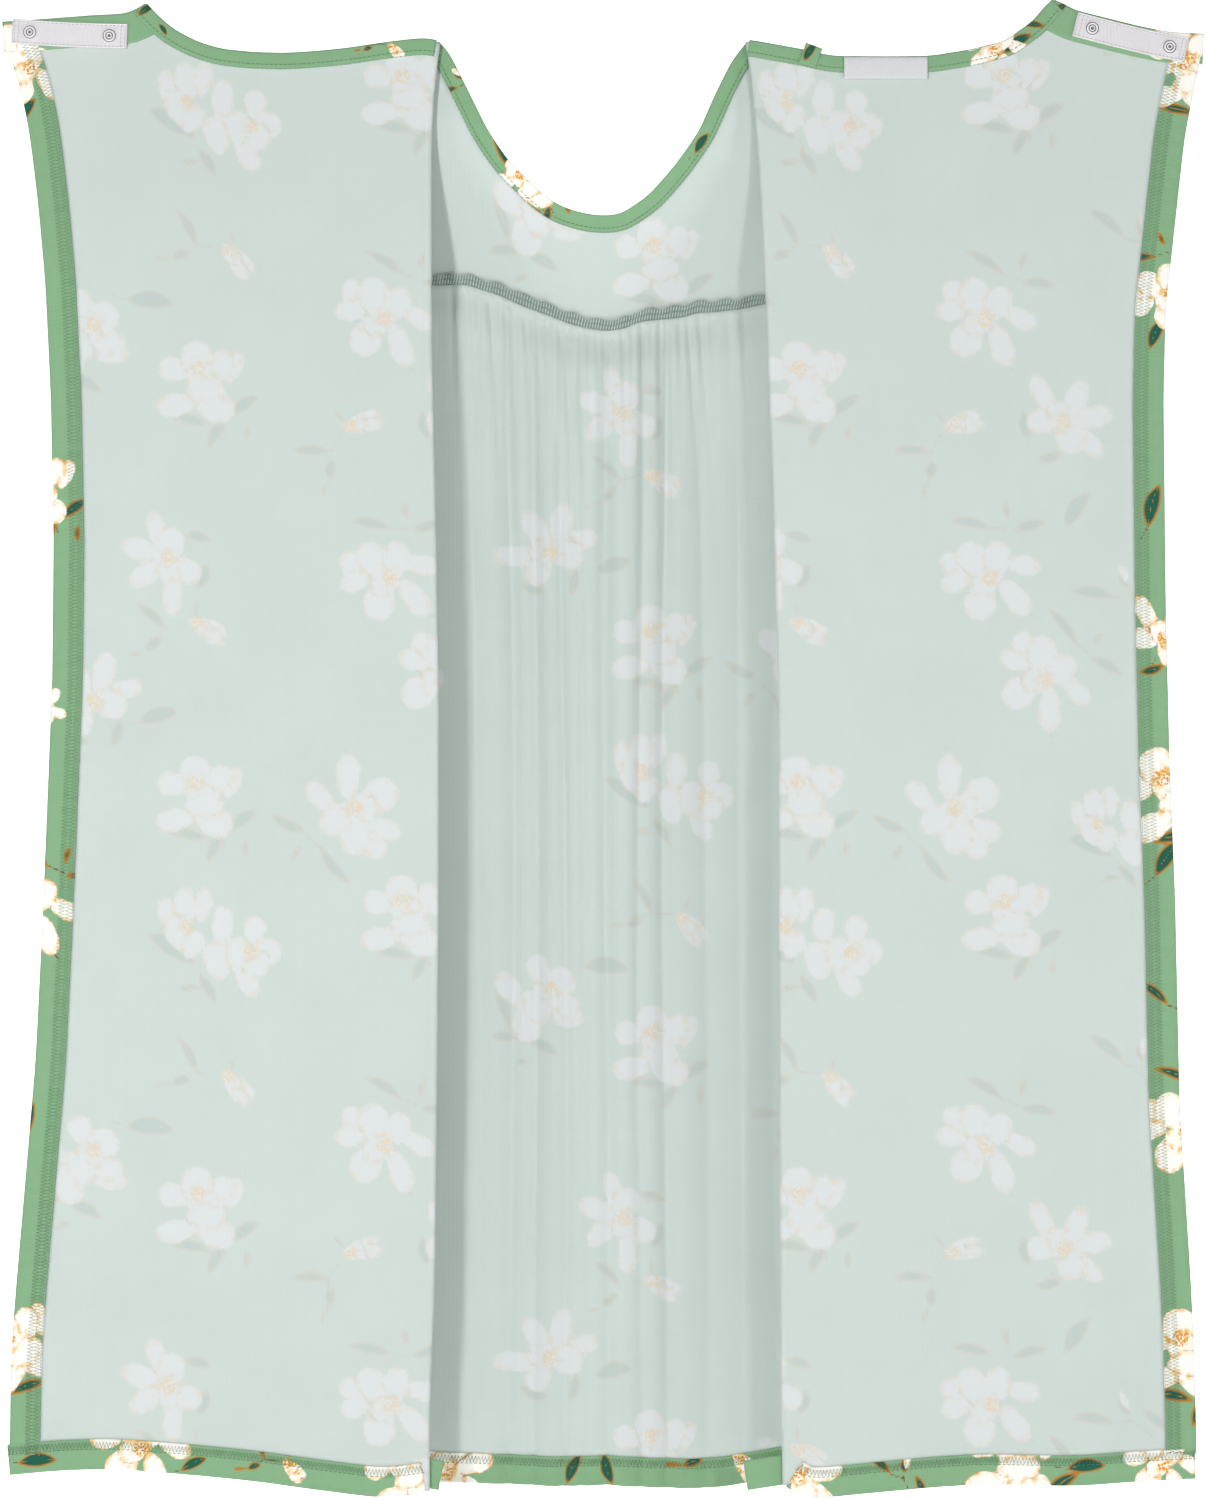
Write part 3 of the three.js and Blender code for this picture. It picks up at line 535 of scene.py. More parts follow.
# %% Meshes from arrays
def write_mesh(name, points, faces, materials, uv=None, fields=None):
    """Writes points (mm) and faces to a mesh, with a cloth UV in metres and print fields."""
    mesh = bpy.data.meshes.new(name)
    mesh.vertices.add(len(points))
    mesh.vertices.foreach_set("co", (np.asarray(points) * MM).astype(np.float32).ravel())
    faces = np.asarray(faces)
    count, corners = faces.shape
    mesh.loops.add(count * corners)
    mesh.loops.foreach_set("vertex_index", faces.ravel().astype(np.int32))
    mesh.polygons.add(count)
    mesh.polygons.foreach_set("loop_start", np.arange(0, count * corners, corners, dtype=np.int32))
    mesh.update(calc_edges=True)
    mesh.polygons.foreach_set("use_smooth", np.full(count, True))
    if uv is not None:
        layer = mesh.uv_layers.new(name="cloth")
        corner_uv = uv.reshape(-1, 2)[faces.ravel()] * MM
        layer.data.foreach_set("uv", corner_uv.astype(np.float32).ravel())
    for key, values in (fields or {}).items():
        mesh.attributes.new(key, "FLOAT", "POINT").data.foreach_set(
            "value", values.ravel().astype(np.float32))
    for material in materials:
        mesh.materials.append(material)
    mesh.validate()
    made = bpy.data.objects.new(name, mesh)
    scene.collection.objects.link(made)
    return made


def grid_faces(rows, columns, round_columns=False, flip=False):
    """Quads of a grid, point row * columns + column; round_columns joins the last to the first."""
    row = np.arange(rows - 1)[:, None]
    column = np.arange(columns if round_columns else columns - 1)[None]
    after = (column + 1) % columns
    quads = np.stack(np.broadcast_arrays(row * columns + column, (row + 1) * columns + column,
                                         (row + 1) * columns + after, row * columns + after), -1)
    quads = quads.reshape(-1, 4)
    return quads[:, ::-1] if flip else quads


JERSEY_THICKNESS = 0.8


def sheet_piece(name, grid, uv, fields, flip, materials=(wrong_side, right_side)):
    """A cloth sheet from its wrong side; Solidify adds the printed right side behind it."""
    rows, columns = grid.shape[:2]
    made = write_mesh(name, grid.reshape(-1, 3), grid_faces(rows, columns, flip=flip), materials,
                      uv, fields)
    thick = made.modifiers.new("cloth_thickness", "SOLIDIFY")
    thick.thickness = JERSEY_THICKNESS * MM
    thick.offset = -1
    thick.material_offset = 1
    thick.material_offset_rim = 1
    return made


def volume_of(points, quads):
    """Six times the volume that quads enclose: a . (b x c) summed over two triangles each."""
    a, b, c, d = (points[quads[:, k]] for k in range(4))
    return np.einsum("ij,ij->", a, np.cross(b, c)) + np.einsum("ij,ij->", a, np.cross(c, d))


def carried(name, stations, materials, uv=None, fields=None):
    """A closed section carried along stations (n, k, 3), its ends drawn in to their centres."""
    first = stations[0].mean(axis=0)[None, None] * np.ones_like(stations[:1])
    last = stations[-1].mean(axis=0)[None, None] * np.ones_like(stations[:1])
    points = np.concatenate([first, stations, last])
    if uv is not None:
        uv = np.concatenate([uv[:1], uv, uv[-1:]])
    if fields:
        fields = {key: np.concatenate([value[:1], value, value[-1:]]) for key, value in fields.items()}
    rows, columns = points.shape[:2]
    flat = points.reshape(-1, 3)
    quads = grid_faces(rows, columns, round_columns=True)
    if volume_of(flat, quads) < 0:
        quads = quads[:, ::-1]
    made = write_mesh(name, flat, quads, materials, uv, fields)
    weld = made.modifiers.new("close_ends", "WELD")
    weld.merge_threshold = 1e-6
    return made


# %% Trims along an edge
def inward(line, towards):
    """Unit normals of a flat line, turned towards a point on the cloth's side of it."""
    tangent = tangents(line)
    normal = np.stack([-tangent[:, 1], tangent[:, 0]], axis=1)
    middle = len(line) // 2
    away = np.dot(normal[middle], np.asarray(towards, float) - line[middle]) < 0
    return -normal if away else normal


def wrap_section(depth, gap, cloth, wall=0.9, steps=9):
    """A binding's section, (depth, height) points: round the cloth's edge, one layer thick.

    The strip puffs by a half sine between its fold and its seam.
    """
    near, far = -gap - wall, cloth + gap + wall
    middle, radius = (near + far) / 2, (far - near) / 2
    turn = np.linspace(-math.pi / 2, math.pi / 2, 9)
    flat = np.linspace(depth, 0.6, steps)
    puff = 0.25 * np.sin(np.pi * (depth - flat) / depth)
    outside = np.concatenate([
        np.stack([flat, near - puff], 1),
        np.stack([-radius * 0.75 * np.cos(turn), middle + radius * np.sin(turn)], 1),
        np.stack([flat[::-1], far + puff[::-1] * 0.4], 1)])
    inner_radius = radius - wall
    inside = np.concatenate([
        np.stack([[depth, 0.0], [far - wall] * 2], 1),
        np.stack([-inner_radius * 0.75 * np.cos(turn), middle - inner_radius * np.sin(turn)], 1),
        np.stack([[0.0, depth], [near + wall] * 2], 1)])
    return np.concatenate([outside, inside])


def laid_section(start, end, top, wall=0.75, steps=14):
    """A facing's section from start to end depth: flat, swelling by a bell curve at its fold."""
    depth = np.linspace(start + 0.5, end - 0.3, steps)
    puff = 0.175 * np.exp(-((depth - start) / 2.2) ** 2)
    outside = np.stack([depth, top - puff], 1)
    under = np.stack([depth[::-1][::3], np.full(len(depth[::3]), top + wall)], 1)
    left = [[start, top + wall * 0.5]]
    right = [[end, top + wall * 0.5]]
    return np.concatenate([outside, right, under, left])


def trim_piece(name, line, section, surface, towards, motifs=(), pucker=0.0):
    """Carries a section along an edge over a surface y(x, z), with its own print motifs.

    Puckers from the seam push it back by a sum of two sines of the length along the edge.
    """
    side = inward(line, towards)
    flat = line[:, None] + section[None, :, :1] * side[:, None]
    x, z = flat[..., 0], flat[..., 1]
    along = run_length(line)
    ruffle = pucker * 0.3 * (1.6 + np.sin(along / 2.1) + 0.6 * np.sin(along / 1.37 + 1.3))
    y = surface(x, z) + section[None, :, 1] + ruffle[:, None]
    stations = np.stack([x, y, z], axis=-1)
    uv = np.stack(np.broadcast_arrays(along[:, None], run_length(section)[None]), -1)
    return carried(name, stations, [binding_side], uv, print_fields(x, z, motifs=motifs))


# %% Thread
LOOPER_PITCH = 1.2


def stitches(name, places, directions, length, width, material, lift=0.35, facing=-1.0):
    """Low capsules of thread, one at each place, laid along its direction on the cloth.

    Each is five rings of six points: ring girth times the cosine and 0.8 of the sine of 60
    degree steps. facing is -1 on cloth whose face is towards the eye, and 1 on its far face.
    """
    directions = np.broadcast_to(directions, places.shape)
    normals = np.tile([0.0, facing, 0.0], (len(places), 1))
    along = np.array([-0.5, -0.42, 0.0, 0.42, 0.5]) * length
    girth = np.array([0.15, 0.75, 1.0, 0.75, 0.15]) * width / 2
    angle = np.arange(6) * math.pi / 3
    a = np.repeat(along, 6)
    b = np.outer(girth, np.cos(angle)).ravel()
    c = np.outer(girth, np.sin(angle)).ravel() * 0.8
    sideways = np.cross(normals, directions)
    points = (places[:, None] + a[None, :, None] * directions[:, None]
              + b[None, :, None] * sideways[:, None]
              + (c[None, :, None] + lift * width) * normals[:, None])
    one = grid_faces(5, 6, round_columns=True)
    caps = np.array([[0, 1, 2, 3], [3, 4, 5, 0], [27, 26, 25, 24], [24, 29, 28, 27]])
    one = np.concatenate([one, caps])
    if volume_of(points[0], one[:24]) < 0:
        one = one[:, ::-1]
    quads = (one[None] + (np.arange(len(places)) * 30)[:, None, None]).reshape(-1, 4)
    return write_mesh(name, points.reshape(-1, 3), quads, [material])


def thread_tube(name, path, width, material, sides=5):
    """A continuous thread: a small ring carried along a path, held upright to the cloth."""
    tangent = tangents(path)
    across = np.cross(tangent, [0.0, -1.0, 0.0])
    across /= np.linalg.norm(across, axis=1, keepdims=True)
    rise = np.cross(across, tangent)
    angle = np.arange(sides) * 2 * math.pi / sides
    ring = (np.cos(angle)[None, :, None] * across[:, None]
            + np.sin(angle)[None, :, None] * rise[:, None]) * width / 2
    return carried(name, path[:, None] + ring, [material])


def seam_path(line, depth, surface, height, towards, pitch):
    """Points every pitch mm along an edge, at a depth into the cloth and a height above it."""
    edge = line + inward(line, towards) * depth
    edge = spread(edge, max(int(run_length(edge)[-1] / pitch), 4))
    return np.stack([edge[:, 0], surface(edge[:, 0], edge[:, 1]) + height, edge[:, 1]], axis=1)


def needle_row(name, line, depth, surface, height, towards, material, pitch=3.2, length=2.3,
               width=0.5):
    """A row of straight stitches parallel to an edge."""
    path = seam_path(line, depth, surface, height, towards, pitch)
    return stitches(name, path, tangents(path), length, width, material)


def looper_row(name, line, depth, surface, height, towards, material, swing, width):
    """The looper thread of a coverstitch: a zigzag swing mm wide along an edge."""
    path = seam_path(line, depth, surface, height, towards, LOOPER_PITCH)
    side = inward(path[:, [0, 2]], towards)
    shift = np.where(np.arange(len(path)) % 2 == 0, -0.5, 0.5) * swing
    path[:, 0] += side[:, 0] * shift
    path[:, 2] += side[:, 1] * shift
    return thread_tube(name, path, width, material)


# %% Turned parts and pieces
def turned(name, profile, place, facing, material, segments=40):
    """A lathe part: (radius, height) points turned about an axis along Y, at a place."""
    profile = np.asarray(profile, float)
    angle = np.arange(segments) * 2 * math.pi / segments
    x = profile[:, :1] * np.cos(angle)
    z = profile[:, :1] * np.sin(angle)
    y = np.broadcast_to(profile[:, 1:] * facing, x.shape)
    return carried(name, np.stack([x, y, z], -1) + np.asarray(place, float), [material])


def settle(piece, body, slot, *replaced):
    """Says which body a piece rides on and the CAD nodes it stands for, which it hides; its material
    slot is not used.
    """
    if body:
        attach(piece, body)
    if replaced:
        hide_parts(*replaced)
    return piece


def add(group, body, slot, piece, *replaced):
    """Settles a piece and appends it to a group list."""
    group.append(settle(piece, body, slot, *replaced))


print("tools ready")

# %% [markdown]
# ## Where the cloth lies
# Each back panel was cut as one piece. It is sewn to the front at its side seam, comes round
# behind the wearer, and here it is folded back on itself, so one sheet makes the hidden side,
# the soft roll of the fold and the folded-out flap. Its outline is traced as it hangs.

# %% Outlines
SIDE_LENGTH = 1004
WRONG_SIDE_FLAP = -2.7
WRONG_SIDE_HIDDEN = 2.7
FRONT_FACE = 6.0
FRONT_SWING, ARMHOLE_GAPE = 58.5, 18
BINDING_WIDTH, FACING_WIDTH, HEM_WIDTH = 10.5, 21.0, 20.5
LEFT = dict(
    name="left", sign=-1, body="left_back", fold_top=116,
    fold=[(-116, 0), (-119, -25), (-122, -60), (-122, -210), (-119, -340), (-117, -464),
          (-117, -605), (-118.5, -760), (-120, -887), (-123.4, -960), (-123.4, -1021)],
    neck=[(-117.5, 0), (-122.7, 1.6), (-135, 0.7), (-157, -2), (-180, -5.6), (-202, -7.8),
          (-224, -9.2), (-247, -8.5), (-269, -6.3), (-285.5, -1.4), (-302, 7), (-314, 17), (-322, 26)],
    shoulder=[(-322, 26), (-328, 22), (-336, 18.6), (-360, 17.5), (-392, 15), (-423, 13)],
    free=[(-423, 13), (-423, -2), (-416, -12), (-408, -40), (-403, -66), (-399, -98), (-396, -125),
          (-392, -170), (-389.5, -220), (-388, -252), (-386, -350), (-387, -450), (-391, -548),
          (-394, -619), (-399, -718), (-406, -800), (-413.5, -887), (-416, -922), (-417.5, -1008.5)],
    hem=[(-124.9, -1021), (-140, -1023.5), (-157, -1025), (-200, -1019), (-242, -1013),
         (-285, -1009), (-344, -1004), (-380, -1005), (-417.5, -1008.5)])
RIGHT = dict(
    name="right", sign=1, body="right_back", fold_top=102,
    fold=[(101.5, 0), (103.6, -11), (107, -39), (111, -88), (114, -145), (117, -208), (118, -238),
          (122, -350), (125, -478), (125, -603), (125.5, -781), (126, -887), (127.6, -1017)],
    neck=[(103, 0), (107, -0.4), (120.6, -3), (139.6, -6.3), (161.4, -11.3), (199, -11.6),
          (230, -11.3), (257, -7), (284.5, -0.4), (294, 7.3), (303.6, 13.4), (312, 24.5),
          (317, 28.7)],
    shoulder=[(317, 28.7), (323, 26.5), (331, 21.5), (355, 15.5), (379, 9.5), (400, 5.5), (423, 4.5)],
    free=[(423, 4.5), (421.5, -6), (418, -22), (414.5, -39), (409, -66), (404.7, -104), (400, -147),
          (395.5, -188), (394, -252), (394.8, -320), (395.5, -393), (398, -502), (402, -605),
          (405, -746), (413, -873), (415, -914), (417, -980), (417, -1011)],
    hem=[(129.1, -1017), (134, -1022), (140, -1025), (153, -1025), (190, -1021), (230, -1017),
         (266, -1015), (306, -1016), (337, -1016), (375, -1013), (417, -1011)])
SIDES = (LEFT, RIGHT)
ROWS = 296
NECK_COLUMNS, SHOULDER_COLUMNS = 64, 29
SHOULDER_RUN, SHOULDER_DROP = 101, 25

for side in SIDES:
    tip = side["fold_top"] + SHOULDER_RUN
    side["armhole"] = smooth([(tip, -25), (tip - 15.4, -75), (tip - 26.6, -140), (tip - 28, -215)],
                             60, soft=5) * [side["sign"], 1]
    side["seam"] = spread(np.array([(tip - 28, -215.0), (215.0, -SIDE_LENGTH)]), 40) * [side["sign"], 1]
    side["fold_line"] = smooth(side["fold"], ROWS, soft=16)
    side["neck_line"] = smooth(side["neck"], NECK_COLUMNS + 1, soft=5)
    side["shoulder_line"] = smooth(side["shoulder"], SHOULDER_COLUMNS + 1, soft=4)
    side["free_line"] = smooth(side["free"], ROWS, soft=9)
    side["hem_line"] = smooth(side["hem"], NECK_COLUMNS + SHOULDER_COLUMNS + 1, soft=9)


def end_reach(side, z):
    """How far from the middle the front and the hidden side reach at height z."""
    line = np.concatenate([side["armhole"], side["seam"][1:]])
    return np.interp(-z, -line[:, 1], np.abs(line[:, 0]))


def flap_y(x, z):
    """The wrong side of a folded-out panel: flat, less slow waves and the seam's small puckers.

    The waves are 1.2 mm times 1 + sin cos of x and z; the puckers fade as a bell from the facing.
    """
    past_fold = smoothstep((np.abs(x) - 122) / 60)
    below = smoothstep((-z - 20) / 120)
    wave = 1 + np.sin(np.abs(x) / 21 + 0.9 * np.sin(z / 170)) * np.cos(z / 330 + x / 300)
    seam = np.where(x < 0, np.interp(-z, -LEFT["free_line"][:, 1], -LEFT["free_line"][:, 0]),
                    np.interp(-z, -RIGHT["free_line"][:, 1], RIGHT["free_line"][:, 0]))
    from_seam = (seam - FACING_WIDTH - np.abs(x)) / 8
    pucker = np.exp(-from_seam ** 2) * (1 + np.sin(z / 1.9 + 2 * np.sin(z / 23)))
    return WRONG_SIDE_FLAP - past_fold * below * (1.2 * wave + 0.16 * pucker)


def front_open(x, z):
    """The front's wrong side: it swings back below the shoulders, by 1 - share cubed across."""
    reach = np.where(x < 0, end_reach(LEFT, z), end_reach(RIGHT, z))
    share = np.minimum(np.abs(x) / reach, 1)
    in_armhole = np.clip((-z - 45) / 170, 0, 1)
    hold = share ** 3
    gape = ARMHOLE_GAPE * np.sin(np.pi * in_armhole) ** 2
    return FRONT_FACE + FRONT_SWING * smoothstep(in_armhole) * (1 - hold) + gape * hold


print("panel outlines", len(SIDES))

# %% [markdown]
# ### Back panels
# Knit cloth folded over on itself rolls softly rather than creasing. The roll here is 5.4 mm
# across. The wrong side is modelled and Solidify lays the printed right side behind it.

# %% Back panels
ROLL = 2.7
HIDDEN_COLUMNS, ROLL_COLUMNS = 14, 9
PANEL_PRINT_SHIFT = -425


def back_cloth(side):
    """Hidden side, roll and flap as one grid; along the roll x grows by ROLL times the turn."""
    sign = side["sign"]
    crease = side["fold_line"] + [sign * 1.5, 0]
    top = np.concatenate([side["neck_line"], side["shoulder_line"][1:]])
    flap = fill(top, side["hem_line"], crease, side["free_line"])
    flap_3d = np.stack([flap[..., 0], flap_y(flap[..., 0], flap[..., 1]), flap[..., 1]], -1)
    down = np.linspace(0, 1, ROWS)
    outer_z = -SHOULDER_DROP - (SIDE_LENGTH - SHOULDER_DROP) * down
    outer = np.stack([sign * end_reach(side, outer_z), outer_z], 1)
    out = np.linspace(1, 0, HIDDEN_COLUMNS, endpoint=False)[None, :, None]
    hidden = crease[:, None] * (1 - out) + outer[:, None] * out
    hidden_y = np.full(hidden.shape[:2], WRONG_SIDE_HIDDEN)
    hidden_3d = np.stack([hidden[..., 0], hidden_y, hidden[..., 1]], -1)
    turn = np.linspace(math.pi / 2, -math.pi / 2, ROLL_COLUMNS, endpoint=False)[None]
    roll_3d = np.stack(np.broadcast_arrays(crease[:, :1] - sign * ROLL * np.cos(turn),
                                           ROLL * np.sin(turn), crease[:, 1:]), -1)
    grid = np.concatenate([hidden_3d, roll_3d, flap_3d], axis=1)
    arc = ROLL * (turn + math.pi / 2)
    hidden_x = crease[:, :1] - sign * (ROLL * math.pi + np.abs(hidden[..., 0] - crease[:, :1]))
    roll_x = crease[:, :1] - sign * arc
    uv = np.stack([np.concatenate([hidden_x, roll_x, flap[..., 0]], 1), grid[..., 2]], -1)
    fields = print_fields(uv[..., 0], uv[..., 1], shift_x=PANEL_PRINT_SHIFT)
    piece = sheet_piece(f"{side['name']}_back_cloth", grid, uv, fields, flip=sign < 0)
    settle(piece, None, "jersey_panel", f"{side['name']}_back_panel", f"{side['name']}_back_side")
    return piece


back_cloths = {side["name"]: back_cloth(side) for side in SIDES}
print("back panels", [len(piece.data.vertices) for piece in back_cloths.values()])

# %% [markdown]
# ### Front yoke and gathered skirt
# The skirt is cut wider than the yoke and drawn up along their seam. Just below it the extra
# cloth stands in narrow creases, which merge into a few broad folds further down.

# %% Front lines
neck_points = [(-116, 0), (-110.6, -5), (-96.5, -33.3), (-83.1, -60.6), (-69.1, -80.9), (-55, -94.3),
               (-42.3, -106.2), (-27.4, -114.2), (-7.5, -118.9), (11.8, -118.9), (33.1, -105.5),
               (52.1, -85), (69, -62), (79.5, -37.5), (92.2, -12), (102, 0)]
gather_points = [(-189, -166), (-150, -165.5), (-124.2, -164.9), (-99, -163.5), (-88.9, -166.4),
                 (-74.5, -170.7), (-58, -177.9), (-39.2, -184.4), (-24.8, -190.1), (-8.3, -193.7),
                 (3.2, -195.2), (16.9, -193), (24.8, -188.7), (41.4, -187.3), (58, -185.8),
                 (65.9, -182.9), (82.4, -182.2), (99, -180.8), (110.5, -178.6), (145, -171),
                 (175, -166)]
hem_points = [(-215, -1004), (-170, -1014), (-126.9, -1023), (-80.6, -1027.4), (-21.3, -1030.2),
              (1.1, -1028.1), (31.4, -1031), (71.9, -1031), (97.9, -1028.1), (129.7, -1020.1),
              (175, -1010), (215, -1004)]
NECK_STEPS, SIDE_STEPS = 180, 40
neck_edge = smooth(neck_points, NECK_STEPS + 1, soft=6)
gather_whole = smooth(gather_points, 800, soft=3)
front_hem = smooth(hem_points, NECK_STEPS + 2 * SIDE_STEPS + 1, soft=14)
shoulder_left = spread(np.array([(-217.0, -25.0), (-116.0, 0.0)]), SIDE_STEPS + 1)
shoulder_right = spread(np.array([(102.0, 0.0), (203.0, -25.0)]), SIDE_STEPS + 1)


def gather_part(x_from, x_to, count):
    """Points of the gathered seam between two places."""
    x = np.linspace(x_from, x_to, count)
    return np.stack([x, np.interp(x, gather_whole[:, 0], gather_whole[:, 1])], 1)


gather_edge = np.concatenate([gather_part(-189, -116, SIDE_STEPS + 1),
                              gather_part(-116, 102, NECK_STEPS + 1)[1:],
                              gather_part(102, 175, SIDE_STEPS + 1)[1:]])

# Creases at the seam: place, drift per mm downwards, depth in mm, half width, length.
NARROW = [(-109, 0.03, 2.2, 2.2, 45), (-99, 0.06, 2.6, 2.4, 70), (-90, 0.02, 2.4, 1.8, 40),
          (-82, 0.06, 4.2, 2.2, 60), (-77, 0.02, 3.4, 1.8, 45), (-70, 0.03, 5.4, 2.4, 150),
          (-63, 0.02, 3.0, 1.7, 35), (-57, 0.06, 3.4, 1.8, 45), (-51, 0.02, 5.2, 2.4, 130),
          (-44, 0.02, 3.4, 1.8, 50), (-39, 0.05, 3.4, 1.6, 45), (-31, 0.04, 5.0, 2.2, 120),
          (-26, 0.09, 3.8, 1.8, 80), (-18, -0.03, 3.4, 1.8, 55), (-11, 0.02, 3.6, 1.7, 50),
          (-5, 0.05, 3.0, 1.6, 40), (1, 0.01, 5.4, 2.2, 170), (8, 0.0, 3.0, 1.6, 40),
          (14, 0.03, 4.0, 1.9, 60), (21, 0.0, 3.0, 1.6, 40), (28, 0.02, 5.0, 2.2, 110),
          (35, -0.02, 2.8, 1.6, 35), (41, 0.0, 4.0, 1.8, 60), (46, -0.01, 5.0, 2.1, 120),
          (55, 0.02, 2.8, 1.8, 40), (61, 0.06, 3.6, 2.0, 60), (69, 0.08, 3.4, 2.2, 70),
          (78, 0.03, 2.2, 2.2, 45), (90, 0.02, 1.8, 2.4, 50), (101, 0.01, 2.2, 2.6, 60)]
# Broad folds: place at the seam, place low down, depth, half width.
BROAD = [(-100, -91, 4.0, 8), (-70, -66, 6.0, 5.5), (-51, -49, 5.0, 5), (-31, -28, 4.5, 4.5),
         (-19, -15, 3.0, 4), (1, 2, 7.5, 6), (28, 27, 5.0, 5), (46, 45, 6.0, 5.5),
         (70, 74, 3.5, 9), (96, 100, 6.0, 9), (122, 124, 4.0, 9)]


FOLD_LIMIT = 18


def valley(offset, width):
    """exp(-sqrt(offset squared + 1/4) / width): ridges stay round, and the valley is sharp."""
    return np.exp(-np.sqrt(offset ** 2 + 0.25) / width)


def front_folds(x, z):
    """How far the folds push the skirt back: valleys that fade in and out down the cloth.

    Their sum is held under FOLD_LIMIT by an exponential, and eased to nothing at the side seams.
    """
    below = np.maximum(np.interp(x, gather_whole[:, 0], gather_whole[:, 1]) - z, 0)
    depth = np.zeros_like(x)
    rise = 1 - np.exp(-below / 5)
    for place, drift, deep, width, length in NARROW:
        centre = place + drift * below
        spread_width = width * (1 + below / 130)
        depth += deep * rise * np.exp(-below / length) * valley(x - centre, spread_width)
    for top, low, deep, width in BROAD:
        centre = top + (low - top) * smoothstep(below / 260)
        centre = centre + 2.0 * np.sin(z / 150 + top) * smoothstep(below / 200)
        fading = smoothstep(below / 160) * (1 - 0.3 * smoothstep((below - 450) / 380))
        depth += deep * fading * valley(x - centre, width * (1 + below / 900))
    reach = np.where(x < 0, end_reach(LEFT, z), end_reach(RIGHT, z))
    depth = FOLD_LIMIT * (1 - np.exp(-2.3 * depth / FOLD_LIMIT))
    return (depth - 9.0 * smoothstep(below / 34)) * (1 - np.minimum(np.abs(x) / reach, 1) ** 4)


def skirt_y(x, z):
    """The skirt's wrong side, with its gathers and folds."""
    return front_open(x, z) + front_folds(x, z)


def yoke_y(x, z):
    """The yoke's wrong side, with two sines that die away exponentially above the gathers."""
    above = np.maximum(z - np.interp(x, gather_whole[:, 0], gather_whole[:, 1]), 0)
    ripple = np.sin(x / 2.6 + 1.1 * np.sin(x / 9)) * np.exp(-above / 9)
    pull = 0.5 * np.sin(x / 7.5) * np.exp(-above / 26)
    return front_open(x, z) + 0.45 * ripple + pull


# %% Yoke and skirt
YOKE_ROWS, SKIRT_ROWS = 56, 160
SIDE_JOIN = -166
yoke_top = np.concatenate([shoulder_left, neck_edge[1:], shoulder_right[1:]])
yoke_sides, skirt_sides = [], []
for side, start in zip(SIDES, (gather_edge[0], gather_edge[-1])):
    above = side["armhole"][:, 1] >= SIDE_JOIN
    upper, lower = side["armhole"][above], side["armhole"][~above]
    yoke_sides.append(spread(np.concatenate([upper, [start]]), YOKE_ROWS))
    skirt_sides.append(spread(np.concatenate([[start], lower, side["seam"][1:]]), SKIRT_ROWS))
yoke_flat = fill(yoke_top, gather_edge, *yoke_sides)
skirt_flat = fill(gather_edge, front_hem, *skirt_sides)


def front_sheet(name, flat, surface, shift, node_name):
    """One sheet of the front over a surface y(x, z)."""
    x, z = flat[..., 0], flat[..., 1]
    grid = np.stack([x, surface(x, z), z], -1)
    piece = sheet_piece(name, grid, flat, print_fields(x, z, *shift), flip=False)
    return settle(piece, "front", "jersey_panel", node_name)


yoke = front_sheet("front_yoke_cloth", yoke_flat, yoke_y, (-104, 92), "front_yoke")
skirt = front_sheet("front_skirt_cloth", skirt_flat, skirt_y, (-104, 109), "front_skirt")
print("yoke", len(yoke.data.vertices), "skirt", len(skirt.data.vertices))

# %% [markdown]
# ### The gathered seam
# Inside, the seam allowance stands up over the yoke. An overlock machine has trimmed it and
# wrapped its edge in thread, and the gathers ruffle it.

# %% Gathered seam
SEAM_STEP, BAND_HEIGHT = 0.4, 7.6
seam_line = gather_part(-186, 172, 900)
rows_up = np.linspace(0, 1, 7)
along_seam = np.arange(len(seam_line)) * SEAM_STEP
ruffle = 0.5 + 0.5 * np.sin(along_seam / 1.75 + 1.3 * np.sin(along_seam / 11))
ruffle += 0.35 * np.sin(along_seam / 4.3 + 0.6)
height = BAND_HEIGHT + 0.9 * np.sin(along_seam / 2.9 + 1) + 0.6 * np.sin(along_seam / 17)
band_x = np.broadcast_to(seam_line[:, :1], (len(seam_line), len(rows_up)))
band_z = seam_line[:, 1:] - 1.2 + height[:, None] * rows_up
band_y = yoke_y(band_x, band_z) - 1.0 - (0.5 + 1.5 * ruffle[:, None]) * rows_up ** 0.8
seam_grid = np.stack([band_x, band_y, band_z], -1)
# The band's grey is partly its own colour and partly painted shade between the pale overlock loops.
band = sheet_piece("gather_seam_band", seam_grid, seam_grid[..., [0, 2]], {}, flip=False,
                   materials=(serged_grey_and_painted_shade, serged_grey_and_painted_shade))
settle(band, "front", "serged_seam", "gather_seam")
for row_name, first, low, high in (("lower", 2, 0, 3), ("upper", 4, 3, 6)):
    start = seam_grid[first:880:5, low]
    end = seam_grid[first + 2:882:5, high]
    leaning = (end - start) / np.linalg.norm(end - start, axis=1, keepdims=True)
    settle(stitches(f"gather_seam_overlock_{row_name}", (start + end) / 2, leaning, 3.7, 0.95,
                    pale_thread, lift=0.3), "front", "serged_seam")
edge_chain = seam_grid[::2, 6] - [0, 0.3, 0]
edge_chain[:, 2] += np.where(np.arange(len(edge_chain)) % 2 == 0, 0.35, -0.45)
settle(thread_tube("gather_seam_edge_thread", edge_chain, 0.6, pale_thread), "front", "serged_seam")
needle = seam_grid[::9, 0] - [0, 0.35, 0]
settle(stitches("gather_seam_needle_thread", needle, tangents(needle), 2.4, 0.5, grey_thread),
       "front", "serged_seam")
print("gathered seam", len(band.data.vertices))

